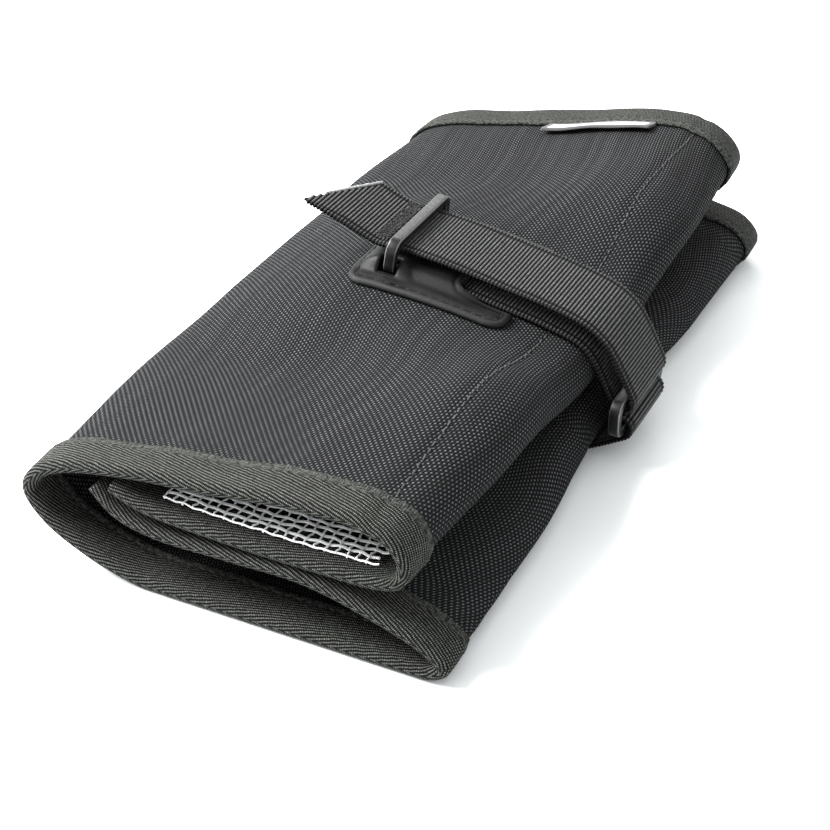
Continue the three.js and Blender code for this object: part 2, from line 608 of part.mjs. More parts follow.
const roll = new THREE.Group();
function addPiece(name, geometry, finish) {
  const mesh = new THREE.Mesh(geometry, new THREE.MeshStandardMaterial(FINISH[finish]));
  mesh.name = name;
  roll.add(mesh);
  return mesh;
}

addPiece('canvas_shell', canvasShell(), 'canvas');
addPiece('near_binding', edgeBinding(-1), 'tape');
addPiece('far_binding', edgeBinding(1), 'tape');
addPiece('upper_flap_binding', flapBinding(false), 'tape');
addPiece('lower_flap_binding', flapBinding(true), 'tape');
addPiece('net_pocket', netPocket(), 'net');
addPiece('leather_patch', leatherPatch(), 'leather');
addPiece('strap', webbing(strapLine(), TIP_SLANT), 'webbing');
addPiece('strap_tab', webbing(tabLine(), 0), 'webbing');
addPiece('label', label(), 'label');

const keeperRing = addPiece('keeper_ring', ring(KEEPER_HEIGHT), 'gunmetal');
const keeperFoot = clothPoint(topParam(KEEPER_X, 0), 0, -HALF_CANVAS - SEAM_GAP - KEEPER_TIP);
keeperRing.position.copy(keeperFoot);
keeperRing.rotation.y = THREE.MathUtils.degToRad(KEEPER_LEAN);
const cinchRing = addPiece('cinch_ring', ring(CINCH_HEIGHT), 'gunmetal');
cinchRing.position.set(CINCH_X, 0, CINCH_LIFT);

// The origin is on the floor under the middle of the whole roll
const box = new THREE.Box3().setFromObject(roll);
const middle = box.getCenter(new THREE.Vector3());
roll.position.set(-middle.x, -middle.y, -box.min.z);

const toolRoll = new THREE.Group();
toolRoll.add(roll);
toolRoll.updateMatrixWorld(true);

export default toolRoll;
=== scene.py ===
"""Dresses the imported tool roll: canvas, edge tapes, webbing, net, leather, wire rings and label."""
import logging
import math
from collections.abc import Sequence
from dataclasses import dataclass
from enum import Enum
from functools import partialmethod

import bpy
import numpy as np
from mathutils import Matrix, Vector
from mathutils.geometry import delaunay_2d_cdt


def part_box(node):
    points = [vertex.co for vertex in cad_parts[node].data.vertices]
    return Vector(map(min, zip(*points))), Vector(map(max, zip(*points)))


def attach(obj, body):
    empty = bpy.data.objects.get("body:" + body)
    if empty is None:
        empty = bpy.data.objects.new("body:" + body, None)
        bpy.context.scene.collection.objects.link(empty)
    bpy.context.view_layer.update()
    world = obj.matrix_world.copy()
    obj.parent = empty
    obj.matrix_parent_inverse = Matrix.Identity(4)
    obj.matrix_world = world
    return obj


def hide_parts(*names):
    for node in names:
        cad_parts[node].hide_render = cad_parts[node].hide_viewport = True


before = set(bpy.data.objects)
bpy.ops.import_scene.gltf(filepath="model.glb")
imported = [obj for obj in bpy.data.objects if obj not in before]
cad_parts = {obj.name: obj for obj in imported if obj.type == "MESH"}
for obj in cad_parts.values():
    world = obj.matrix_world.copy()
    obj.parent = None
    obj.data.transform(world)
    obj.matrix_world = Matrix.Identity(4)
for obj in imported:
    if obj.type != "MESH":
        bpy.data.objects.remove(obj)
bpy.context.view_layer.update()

LOG = logging.getLogger("tool_roll")
BODY = "root"

# Sizes are in millimetres until a mesh is made
MM = 0.001
SEED = 7
# What a face keeps back from the solid that it dresses
HAIR = 0.05
SIDEWAYS = np.array([0.0, 1.0, 0.0])

Array = np.ndarray
Colour = tuple[float, float, float, float]
Piece = bpy.types.Object
Material = bpy.types.Material
Socket = bpy.types.NodeSocket


def grey(level: float, warmth: float = 0.0) -> Colour:
    """Returns a near-neutral colour of a linear level, warmer above nought and cooler below."""
    return (level * (1 + warmth), level, level * (1 - warmth), 1.0)


def ease(value: Array) -> Array:
    """Returns the smooth step of a value from 0 to 1."""
    held = np.clip(value, 0.0, 1.0)
    return held * held * (3 - 2 * held)


def unit(vectors: Array) -> Array:
    """Returns the vectors at length one."""
    return vectors / np.maximum(np.linalg.norm(vectors, axis=-1, keepdims=True), 1e-12)


def spread(*values: Array | float) -> list[Array]:
    """Returns the values as flat arrays of one length."""
    return [np.ravel(value).astype(float) for value in np.broadcast_arrays(*values)]


def travelled(points: Array) -> Array:
    """Returns the way along a line from its first point to each."""
    steps = np.linalg.norm(np.diff(points, axis=0), axis=1)
    return np.concatenate([[0.0], np.cumsum(steps)])


def picked(at: Array, run: Array, points: Array) -> Array:
    """Returns the points of a line at lengths along it, where run is the length at each point."""
    return np.stack([np.interp(at, run, points[:, k]) for k in range(points.shape[1])], axis=1)


def upright(pairs: Array, y: Array | float = 0.0) -> Array:
    """Returns pairs of x and z as points or directions with a y between them."""
    return np.stack([pairs[:, 0], np.broadcast_to(y, len(pairs)), pairs[:, 1]], axis=1)


@dataclass(frozen=True)
class Fold:
    """One bend of the sheet. Pairs are x and z shares of the width and of the air between layers.

    near, waist and far are at the near end, under the strap and at the far end, and belly is
    what is added midway to the strap. layers counts the bound layers of cloth beneath.
    """

    name: str
    layers: float
    near: tuple[float, float]
    waist: tuple[float, float]
    far: tuple[float, float]
    belly: tuple[float, float] = (0.0, 0.0)


FOLDS = (
    Fold("upper flap end", 2, (0.225, 0.73), (0.225, 0.73), (0.225, 0.71)),
    Fold("upper flap rise", 2, (0.288, 0.6), (0.288, 0.58), (0.288, 0.6)),
    Fold("upper flap middle", 2, (0.495, 0.52), (0.495, 0.43), (0.495, 0.54)),
    Fold("upper flap right", 2, (0.72, 0.51), (0.72, 0.35), (0.72, 0.58)),
    Fold("upper fold underside", 2, (0.838, 0.53), (0.865, 0.35), (0.847, 0.63), (0, 0.02)),
    Fold("upper fold lower quarter", 2.25, (0.881, 0.565), (0.917, 0.37), (0.896, 0.66), (0.03, 0.03)),
    Fold("upper fold edge", 2.5, (0.895, 0.71), (0.932, 0.51), (0.919, 0.85), (0.035, 0.04)),
    Fold("upper fold shoulder", 2.75, (0.869, 0.9), (0.901, 0.68), (0.887, 1.04), (0.03, 0.08)),
    Fold("upper fold crest", 3, (0.802, 0.985), (0.82, 0.77), (0.82, 1.165), (0.01, 0.11)),
    Fold("top right", 3, (0.703, 0.995), (0.703, 0.88), (0.725, 1.175), (0, 0.08)),
    Fold("top middle", 3, (0.495, 0.885), (0.495, 1.05), (0.495, 0.95)),
    Fold("top left", 3, (0.297, 0.78), (0.333, 1.057), (0.297, 0.765)),
    Fold("top by left fold", 3, (0.112, 0.6), (0.12, 0.75), (0.11, 0.575), (-0.008, 0.03)),
    Fold("left fold shoulder", 2.5, (0.038, 0.52), (0.018, 0.58), (0.022, 0.485), (-0.018, 0.05)),
    Fold("left fold edge", 1.5, (0.01, 0.475), (-0.005, 0.48), (-0.01, 0.435), (-0.018, 0.04)),
    Fold("left fold lower quarter", 0.5, (0.045, 0.385), (0.034, 0.33), (0.028, 0.31), (-0.012, 0)),
    Fold("bottom by left fold", 0, (0.133, 0.215), (0.126, 0.11), (0.122, 0.15)),
    Fold("bottom left", 0, (0.279, 0), (0.279, 0), (0.279, 0)),
    Fold("bottom middle", 0, (0.54, 0), (0.54, 0), (0.54, 0)),
    Fold("bottom right", 0, (0.838, 0), (0.82, 0), (0.856, 0)),
    Fold("lower fold underside", 0, (0.943, 0), (0.91, 0), (0.949, 0), (-0.01, 0)),
    Fold("lower fold edge", 0.5, (0.98, 0.03), (0.953, 0.11), (0.992, 0.126), (-0.004, 0.02)),
    Fold("lower fold top", 1, (0.943, 0.1), (0.919, 0.25), (0.958, 0.257), (-0.004, 0.03)),
    Fold("lower flap right", 1, (0.838, 0.309), (0.82, 0.33), (0.865, 0.387)),
    Fold("lower flap inner right", 1, (0.676, 0.5), (0.676, 0.33), (0.676, 0.53)),
    Fold("lower flap middle", 1, (0.495, 0.5), (0.495, 0.4), (0.495, 0.52)),
    Fold("lower flap left", 1, (0.315, 0.5), (0.315, 0.487), (0.315, 0.509)),
    Fold("lower flap rise", 1, (0.23, 0.62), (0.23, 0.62), (0.23, 0.62)),
    Fold("lower flap end", 1, (0.18, 0.857), (0.18, 0.857), (0.18, 0.857)),
)
LAST_FOLD = len(FOLDS) - 1


def fold_place(name: str) -> float:
    """Returns the parameter of a bend, from 0 at the upper flap's end to 1 at the lower flap's."""
    return next(i for i, fold in enumerate(FOLDS) if fold.name == name) / LAST_FOLD


def bent_line(points: Array, line: Array, place: Array) -> Array:
    """Finds points on centripetal curves through rows of points.

    Args:
        points: Rows of points, one line each: (lines, rows, 2).
        line: Which line each sample lies on.
        place: Where on it, counted in rows.

    Returns:
        One point for each sample.
    """
    first = 2 * points[:, :1] - points[:, 1:2]
    last = 2 * points[:, -1:] - points[:, -2:-1]
    rows = np.concatenate([first, points, last], axis=1)
    index = np.clip(np.floor(place).astype(int), 0, points.shape[1] - 2)
    weight = (place - index)[:, None]
    p0, p1, p2, p3 = (rows[line, index + k] for k in range(4))
    d0, d1, d2 = (
        np.maximum(np.sum((b - a) ** 2, axis=1), 1e-9)[:, None] ** 0.25
        for a, b in ((p0, p1), (p1, p2), (p2, p3)))
    start = ((p1 - p0) / d0 - (p2 - p0) / (d0 + d1) + (p2 - p1) / d1) * d1
    end = ((p2 - p1) / d1 - (p3 - p1) / (d1 + d2) + (p3 - p2) / d2) * d1
    square = -3 * p1 + 3 * p2 - 2 * start - end
    cube = 2 * p1 - 2 * p2 + start + end
    return p1 + weight * (start + weight * (square + weight * cube))


@dataclass(frozen=True)
class FoldedSheet:
    """The canvas as it lies folded, and the heights that its tapes, strap and patch take on it."""

    shift: float
    length: float = 222.0
    width: float = 111.0
    height: float = 40.0
    canvas: float = 1.2
    tape: float = 1.0
    tape_width: float = 11.5
    seam_gap: float = 0.3
    layer_gap: float = 0.6
    floor_ramp: float = 8.0
    waist_reach: float = 45.0
    strap_width: float = 25.0
    strap_thickness: float = 1.6
    strap_margin: float = 1.0
    seam_x: float = 36.0
    seam_depth: float = 0.45
    seam_reach: float = 1.3
    ripple: float = 0.22
    tangent_step: float = 0.125
    divisions: int = 400
    halvings: int = 26

    @property
    def half_length(self) -> float:
        """Half of the roll's length."""
        return self.length / 2

    @property
    def half_canvas(self) -> float:
        """Half of the canvas's thickness."""
        return self.canvas / 2

    @property
    def tape_outside(self) -> float:
        """From the cloth's middle plane to a tape's outer face."""
        return self.half_canvas + self.seam_gap + self.tape

    @property
    def plateau(self) -> float:
        """Half of the length along the roll that the strap holds down."""
        return self.strap_width / 2 + self.strap_margin

    def across(self, share: float) -> float:
        """Returns x for a share of the body's width."""
        return (share - 0.5) * self.width

    def rest_height(self, y: Array) -> Array:
        """Returns the height of the bottom panel's middle plane.

        Args:
            y: Places along the roll.

        Returns:
            The height at each place.
        """
        distance = np.abs(y)
        tape = ease((distance - (self.half_length - self.tape_width - self.floor_ramp)) / self.floor_ramp)
        tab = ease((self.plateau + self.floor_ramp - distance) / self.floor_ramp)
        on_tape = tape * (self.tape_outside - self.half_canvas)
        return self.half_canvas + on_tape + tab * (self.strap_thickness + self.seam_gap)

    def controls(self, y: Array) -> Array:
        """Returns x and z of every bend at places along the roll: (places, bends, 2).

        Args:
            y: Places along the roll.

        Returns:
            The bends, as (places, bends, 2).
        """
        near, waist, far, belly = (
            np.array([getattr(fold, key) for fold in FOLDS], float)
            for key in ("near", "waist", "far", "belly"))
        layers = np.array([fold.layers for fold in FOLDS], float)
        along = ((y + self.half_length) / self.length)[:, None, None]
        beyond = np.clip((np.abs(y) - self.plateau) / self.waist_reach, 0, 1)
        squeeze = (np.cos(beyond * math.pi / 2) ** 2)[:, None, None]
        swell = (np.sin(math.pi * np.abs(y) / self.half_length) ** 2)[:, None, None]
        free = near + (far - near) * along + swell * belly
        share = free + (waist - free) * squeeze
        pitch = 2 * self.tape_outside + self.layer_gap
        air = self.height - 2 * self.tape_outside - 3 * pitch
        rest = self.rest_height(y)[:, None]
        lowest = rest + (self.tape_outside - rest) * np.minimum(layers, 1)
        x = (share[..., 0] - 0.5) * self.width
        z = lowest + layers * pitch + share[..., 1] * air
        return np.stack([x, z], axis=-1)

    def middle(self, param: Array, y: Array) -> Array:
        """Returns x and z of the cloth's middle plane, which never sinks below its rest.

        Args:
            param: Places round the fold, from 0 to 1.
            y: Places along the roll.

        Returns:
            Its x and z.
        """
        places, line = np.unique(np.round(y, 6), return_inverse=True)
        found = bent_line(self.controls(places), line.ravel(), np.clip(param, 0, 1) * LAST_FOLD)
        found[:, 1] = np.maximum(found[:, 1], self.rest_height(y))
        return found

    def relief(self, param: Array, x: Array, y: Array) -> Array:
        """Returns how far the top panel swells outwards or sinks: soft ripples and the sewn seam.

        Args:
            param: Places round the fold, from 0 to 1.
            x: Places across the roll.
            y: Places along the roll.

        Returns:
            The swell at each point.
        """
        right, left = fold_place("upper fold edge"), fold_place("left fold shoulder")
        reach = 1.5 / LAST_FOLD
        top = ease((param - right) / reach) * ease((left - param) / reach)
        free = ease((np.abs(y) - self.plateau) / self.waist_reach * 3)
        waves = (
            np.sin(0.115 * x + 0.062 * y + 0.6)
            + 0.6 * np.sin(0.21 * x - 0.094 * y + 2.1)
            + 0.4 * np.sin(0.31 * y + 0.05 * x))
        seam = self.seam_depth * np.exp(-((x - self.seam_x) / self.seam_reach) ** 2)
        return top * (free * self.ripple * waves - seam)

    def frame_at(self, param: Array, y: Array) -> tuple[Array, Array, Array]:
        """Finds the cloth's middle, its run round the fold and its inward normal.

        Args:
            param: Places round the fold.
            y: Places along the roll.

        Returns:
            Middle points, unit tangents and unit normals, in the frame's x, y and z.
        """
        step = self.tangent_step / LAST_FOLD
        run = unit(self.middle(param + step, y) - self.middle(param - step, y))
        centre = self.middle(param, y)
        normal = np.stack([-run[:, 1], run[:, 0]], axis=1)
        centre = centre - normal * self.relief(param, centre[:, 0], y)[:, None]
        return upright(centre, y) + (self.shift, 0, 0), upright(run), upright(normal)

    def point(self, param: Array, y: Array | float, offset: Array | float) -> Array:
        """Returns points at a distance from the middle plane, positive towards the inner face.

        Args:
            param: Places round the fold, from 0 to 1.
            y: Places along the roll.
            offset: Distance from the middle plane, positive towards the inner face.

        Returns:
            The points, as x, y and z.
        """
        param, y, offset = spread(param, y, offset)
        points, _, normal = self.frame_at(param, y)
        return points + normal * offset[:, None]

    def lengths(self, y: float) -> Array:
        """Returns the cloth's length from its first end to each division at one place."""
        params = np.linspace(0, 1, self.divisions + 1)
        return travelled(self.middle(params, np.full(len(params), y)))

    def param_at_length(self, length: Array, y: Array | float) -> Array:
        """Returns parameters at lengths from the upper flap's end, or below nought from the other.

        Args:
            length: Lengths along the cloth.
            y: Places along the roll.

        Returns:
            The parameters.
        """
        length, y = spread(length, y)
        result = np.empty(len(y))
        params = np.linspace(0, 1, self.divisions + 1)
        for place in np.unique(y):
            here = y == place
            run = self.lengths(float(place))
            wanted = np.where(length[here] < 0, run[-1] + length[here], length[here])
            result[here] = np.interp(wanted, run, params)
        return result

    def param_at_x(self, x: Array, y: Array, first: str, last: str) -> Array:
        """Finds the parameters where a run of cloth between two bends passes x.

        Args:
            x: x of the body.
            y: Places along the roll.
            first: Name of the run's first bend.
            last: Name of its last bend.

        Returns:
            The parameters.
        """
        x, y = spread(x, y)
        low = np.full(len(x), fold_place(first))
        high = np.full(len(x), fold_place(last))
        rising = self.middle(high, y)[:, 0] > self.middle(low, y)[:, 0]
        for _ in range(self.halvings):
            half = (low + high) / 2
            before = (self.middle(half, y)[:, 0] < x) == rising
            low = np.where(before, half, low)
            high = np.where(before, high, half)
        return (low + high) / 2

    def on_top(self, x: Array, y: Array, height: Array | float) -> Array:
        """Returns points over the top panel at a height above the canvas's outer face.

        Args:
            x: Places across the roll.
            y: Places along the roll.
            height: Height above the canvas's outer face.

        Returns:
            The points, as x, y and z.
        """
        x, y, height = spread(x, y, height)
        param = self.param_at_x(x, y, "upper fold shoulder", "left fold shoulder")
        return self.point(param, y, -self.half_canvas - height)


# Meshes


def signed_volume(points: Array, triangles: Array) -> float:
    """Returns the volume inside the triangles, below nought where they face inwards."""
    a, b, c = (points[triangles[:, k]] for k in range(3))
    return float(np.einsum("ij,ij->", a, np.cross(b, c)) / 6)


def linked(name: str, data: bpy.types.ID) -> Piece:
    """Returns a new object with that data, linked to the scene.

    Args:
        name: Name of the object.
        data: Its mesh, light or camera.

    Returns:
        The object.
    """
    piece = bpy.data.objects.new(name, data)
    bpy.context.scene.collection.objects.link(piece)
    return piece


def make_piece(
    name: str, points: Array, faces: Sequence[Sequence[int]], uv: Array | None = None,
    values: dict[str, Array] | None = None, flat_caps: bool = False,
) -> Piece:
    """Makes a closed mesh object with its faces turned outwards.

    Args:
        name: Name of the piece.
        points: Vertices in millimetres.
        faces: Vertex places of each face.
        uv: Pattern coordinates of each vertex, in millimetres.
        values: Numbers kept on the vertices, by attribute name.
        flat_caps: Whether faces of more than four corners are shaded flat.

    Returns:
        The new object, linked to the scene.
    """
    triangles = np.array([(f[0], f[k], f[k + 1]) for f in faces for k in range(1, len(f) - 1)])
    if signed_volume(points, triangles) < 0:
        faces = [tuple(reversed(face)) for face in faces]
    mesh = bpy.data.meshes.new(name)
    mesh.from_pydata((points * MM).tolist(), [], [tuple(map(int, face)) for face in faces])
    smooth = [not (flat_caps and len(face) > 4) for face in faces]
    mesh.polygons.foreach_set("use_smooth", smooth)
    if uv is not None:
        layer = mesh.uv_layers.new(name="cloth")
        corner = np.empty(len(mesh.loops), np.int32)
        mesh.loops.foreach_get("vertex_index", corner)
        layer.data.foreach_set("uv", (uv[corner] * MM).ravel())
    for key, numbers in (values or {}).items():
        attribute = mesh.attributes.new(key, "FLOAT", "POINT")
        attribute.data.foreach_set("value", np.asarray(numbers, np.float32))
    mesh.update()
    return linked(name, mesh)


def loft_faces(rings: int, count: int, caps: Sequence[Sequence[int]] = ()) -> list[tuple[int, ...]]:
    """Lists the faces of a loft through closed rings of points.

    Args:
        rings: Number of rings.
        count: Points in each.
        caps: Faces that close an end, as places in a ring. Without any, the last ring joins the first.

    Returns:
        Quads between the rings, and the caps.
    """
    faces: list[tuple[int, ...]] = []
    for ring in range(rings - 1 if caps else rings):
        base, above = ring * count, (ring + 1) % rings * count
        for i in range(count):
            j = (i + 1) % count
            faces.append((base + i, base + j, above + j, above + i))
    last = (rings - 1) * count
    for cap in caps:
        faces.append(tuple(reversed(cap)))
        faces.append(tuple(last + i for i in cap))
    return faces


def double_sheet(name: str, rows: Sequence[tuple[Array, Array, Array]]) -> Piece:
    """Makes a closed sheet from its two faces.

    Args:
        name: Name of the piece.
        rows: Points of one face, of the other, and their pattern coordinates, row by row.

    Returns:
        The new object.
    """
    rings = [np.concatenate([front, back[::-1]]) for front, back, _ in rows]
    patterns = [np.concatenate([pattern, pattern[::-1]]) for _, _, pattern in rows]
    count = len(rings[0])
    caps = [(i, i + 1, count - 2 - i, count - 1 - i) for i in range(count // 2 - 1)]
    faces = loft_faces(len(rows), count, caps)
    return make_piece(name, np.concatenate(rings), faces, np.concatenate(patterns))


def arc(centre: tuple[float, float], radius: float, start: float, end: float, steps: int) -> Array:
    """Returns points on an arc, with its angles in quarter turns."""
    angle = np.linspace(start, end, steps + 1) * math.pi / 2
    return np.array(centre) + radius * np.stack([np.cos(angle), np.sin(angle)], axis=1)


def rounded_box(
    low: tuple[float, float], high: tuple[float, float], radius: float, steps: int,
) -> list[Array]:
    """Returns the four corner arcs of a rectangle, anticlockwise from the lower left.

    Args:
        low: Lower left corner.
        high: Upper right corner.
        radius: Radius of the corners.
        steps: Steps in each corner.

    Returns:
        The points of each corner.
    """
    (x0, y0), (x1, y1) = np.array(low) + radius, np.array(high) - radius
    centres = ((x0, y0), (x1, y0), (x1, y1), (x0, y1))
    return [arc(centre, radius, 2 + i, 3 + i, steps) for i, centre in enumerate(centres)]


def finish_piece(piece: Piece, material: Material, nodes: Sequence[str] = ()) -> Piece:
    """Dresses a piece, lets it ride on the roll's body and hides the nodes that it stands for.

    Args:
        piece: The finished object.
        material: Its finish.
        nodes: CAD nodes that it replaces.

    Returns:
        The same object.
    """
    piece.data.materials.clear()
    piece.data.materials.append(material)
    if nodes:
        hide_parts(*nodes)
    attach(piece, BODY)
    LOG.info("%s: %d triangles", piece.name, sum(len(p.vertices) - 2 for p in piece.data.polygons))
    return piece


# Node trees


def socket_named(sockets: Sequence[Socket], name: str) -> Socket:
    """Returns the enabled socket of that name."""
    return next(s for s in sockets if s.name == name and s.enabled)


class Value:
    """What a node puts out. Arithmetic on it adds Math nodes."""

    def __init__(self, wiring: "Wiring", socket: Socket) -> None:
        """Stands for a socket."""
        self.wiring = wiring
        self.socket = socket

    def math(self, operation: str, *terms: object, clamp: bool = False) -> "Value":
        """Adds a Math node with this as its first term.

        Args:
            operation: Name of the operation.
            terms: The further terms.
            clamp: Whether the result stays from 0 to 1.

        Returns:
            The result.
        """
        made = self.wiring.node("ShaderNodeMath", operation=operation, use_clamp=clamp)
        for target, term in zip(made.inputs, (self, *terms)):
            self.wiring.feed(target, term)
        return Value(self.wiring, made.outputs[0])

    __add__ = partialmethod(math, "ADD")
    __sub__ = partialmethod(math, "SUBTRACT")
    __mul__ = partialmethod(math, "MULTIPLY")
    __truediv__ = partialmethod(math, "DIVIDE")
    __pow__ = partialmethod(math, "POWER")
    __abs__ = partialmethod(math, "ABSOLUTE")
    least = partialmethod(math, "MINIMUM")
    most = partialmethod(math, "MAXIMUM")

    def below(self, top: float) -> "Value":
        """Returns how far it lies below a number."""
        return self * -1.0 + top

    def wave(self) -> "Value":
        """Returns a wave between 0 and 1 of it, counted in turns."""
        return (self * math.tau).math("COSINE") * 0.5 + 0.5

    def scaled(self, low: float, high: float, to_low: float = 0.0, to_high: float = 1.0) -> "Value":
        """Returns it carried from one range to another and held there."""
        return self.wiring.out("ShaderNodeMapRange", "Result", {
            "Value": self, "From Min": low, "From Max": high, "To Min": to_low, "To Max": to_high})

    def blend(self, first: object, second: object) -> "Value":
        """Returns a mix of two colours by this share.

        Args:
            first: Colour at nought.
            second: Colour at one.

        Returns:
            The mixed colour.
        """
        made = self.wiring.node("ShaderNodeMix", data_type="RGBA")
        for target, value in zip((made.inputs[0], made.inputs[6], made.inputs[7]), (self, first, second)):
            self.wiring.feed(target, value)
        return Value(self.wiring, made.outputs[2])

    def split(self) -> list["Value"]:
        """Returns its x, y and z."""
        made = self.wiring.node("ShaderNodeSeparateXYZ", {"Vector": self})
        return [Value(self.wiring, output) for output in made.outputs]


class Wiring:
    """Adds nodes to a tree and links them, so that a recipe reads from left to right."""

    def __init__(self, tree: bpy.types.NodeTree) -> None:
        """Starts on a tree."""
        self.tree = tree

    def node(self, kind: str, inputs: dict[str, object] | None = None, **settings: object) -> bpy.types.Node:
        """Adds a node.

        Args:
            kind: Blender's name of the node type.
            inputs: Numbers or values for its inputs, by name.
            settings: Properties of the node.

        Returns:
            The node.
        """
        made = self.tree.nodes.new(kind)
        for key, value in settings.items():
            setattr(made, key, value)
        for key, value in (inputs or {}).items():
            self.feed(socket_named(made.inputs, key), value)
        return made

    def feed(self, target: Socket, value: object) -> None:
        """Links a value to an input, or sets the input's own number."""
        if isinstance(value, Value):
            self.tree.links.new(value.socket, target)
        else:
            target.default_value = value

    def out(
        self, kind: str, output: str, inputs: dict[str, object] | None = None, **settings: object,
    ) -> Value:
        """Adds a node and returns one of its outputs."""
        return Value(self, socket_named(self.node(kind, inputs, **settings).outputs, output))

    def noise(self, place: Value, scale: object, detail: float, **more: float) -> Value:
        """Returns the strength of a noise."""
        inputs = {"Vector": place, "Scale": scale, "Detail": detail, **more}
        return self.out("ShaderNodeTexNoise", "Fac", inputs)

    def vector(self, **parts: object) -> Value:
        """Returns a vector of its X, Y and Z, each nought unless given."""
        return self.out("ShaderNodeCombineXYZ", "Vector", parts)

    def deliver(self, **results: Value) -> bpy.types.NodeTree:
        """Feeds the tree's outputs and returns the tree.

        Args:
            results: Value of each output.

        Returns:
            The tree.
        """
        last = self.tree.nodes.new("NodeGroupOutput")
        for key, value in results.items():
            self.feed(last.inputs[key], value)
        return self.tree


SOCKET_TYPES = {
    "Vector": "NodeSocketVector", "Geometry": "NodeSocketGeometry", "Material": "NodeSocketMaterial"}


def new_tree(
    name: str, kind: str, inputs: dict[str, float | None], outputs: Sequence[str],
    hand: type[Wiring] = Wiring,
) -> tuple[Wiring, dict[str, Value]]:
    """Makes a node group with named inputs and outputs.

    Args:
        name: Name of the group.
        kind: ShaderNodeTree or GeometryNodeTree.
        inputs: First value of each input, by name.
        outputs: Names of the outputs.
        hand: Class of the wiring.

    Returns:
        The group's wiring and its inputs.
    """
    tree = bpy.data.node_groups.new(name, kind)
    for key, value in inputs.items():
        kind_of = SOCKET_TYPES.get(key, "NodeSocketFloat")
        made = tree.interface.new_socket(name=key, in_out="INPUT", socket_type=kind_of)
        if value is not None:
            made.default_value = value
    for key in outputs:
        kind_of = SOCKET_TYPES.get(key, "NodeSocketFloat")
        tree.interface.new_socket(name=key, in_out="OUTPUT", socket_type=kind_of)
    wiring = hand(tree)
    given = tree.nodes.new("NodeGroupInput")
    return wiring, {key: Value(wiring, given.outputs[key]) for key in inputs}


# Patterns shared by the finishes


def plain_weave_group() -> bpy.types.NodeTree:
    """Builds a plain weave: threads over and under each other, with thick and thin ones.

    Returns:
        The group.
    """
    wiring, given = new_tree(
        "plain_weave", "ShaderNodeTree",
        {"Vector": None, "Warp Pitch": 0.4, "Weft Pitch": 0.4, "Wander": 0.25},
        ("Height", "Warp", "Weft", "Thread"))
    drift = wiring.out(
        "ShaderNodeTexNoise", "Color", {"Vector": given["Vector"], "Scale": 0.12, "Detail": 2.0})
    wander = given["Wander"] * 8.0
    u, v = (
        place / given[pitch] + (push - 0.5) * wander
        for place, push, pitch in zip(given["Vector"].split(), drift.split(), ("Warp Pitch", "Weft Pitch")))

    def over(own: Value, other: Value, turn: float) -> tuple[Value, Value]:
        """Returns the height of one set of threads, and a number of its own for each thread.

        Args:
            own: Count across these threads.
            other: Count across the others.
            turn: Which set it is.

        Returns:
            The height and the number.
        """
        index = own.math("FLOOR") + turn
        centre = own.math("FRACT") * 2.0 - 1.0
        crown = (centre * centre).below(1.0)
        wave = ((other - 0.5 + index) * 0.5).wave()
        number = wiring.out(
            "ShaderNodeTexWhiteNoise", "Value", {"W": index + turn * 56}, noise_dimensions="1D")
        return crown * wave, wave * number

    warp, warp_number = over(u, v, 0.0)
    weft, weft_number = over(v, u, 1.0)
    return wiring.deliver(Height=warp.most(weft), Warp=warp, Weft=weft, Thread=warp_number + weft_number)


def herringbone_group() -> bpy.types.NodeTree:
    """Builds slanted ribs that mirror about the tape's middle, with a plainer band by each hem.

    Returns:
        The group.
    """
    wiring, given = new_tree(
        "herringbone", "ShaderNodeTree",
        {"Vector": None, "Middle": 12.0, "Pitch": 0.8, "Slant": 17.0, "Hem From": 9.8, "Strand Pitch": 0.42},
        ("Height", "Hem"))
    x, y, _ = given["Vector"].split()
    reach = abs(y - given["Middle"])
    angle = given["Slant"].math("RADIANS")
    sine, cosine = angle.math("SINE"), angle.math("COSINE")
    unrest = wiring.noise(given["Vector"], 0.35, 2.0) * 0.8
    rib = ((x * sine - reach * cosine) / given["Pitch"] + unrest).wave() ** 0.7
    strand = ((x * cosine + reach * sine) / given["Strand Pitch"]).wave()
    hem = ((reach - given["Hem From"]) * 3.0).most(0.0).math("SMOOTH_MIN", 1.0, 0.2)
    fine = (x * (math.tau / 0.6)).math("COSINE") * 0.22 + 0.5
    height = (strand * 0.35 + rib * 0.65) * hem.below(1.0) + fine * hem
    return wiring.deliver(Height=height, Hem=hem)


def fuzz_group() -> bpy.types.NodeTree:
    """Builds loose fibre ends and faint patches of wear, as two masks.

    Returns:
        The group.
    """
    wiring, given = new_tree(
        "fuzz_and_wear", "ShaderNodeTree",
        {"Vector": None, "Fibre Scale": 2500.0, "Patch Scale": 40.0}, ("Fibre", "Patch"))
    fibre = wiring.noise(given["Vector"], given["Fibre Scale"], 3.0, Roughness=0.7)
    patch = wiring.noise(given["Vector"], given["Patch Scale"], 3.0)
    return wiring.deliver(Fibre=fibre.scaled(0.35, 0.65), Patch=patch.scaled(0.3, 0.7))


GROUP_MAKERS = {
    "plain_weave": plain_weave_group, "herringbone": herringbone_group, "fuzz_and_wear": fuzz_group}


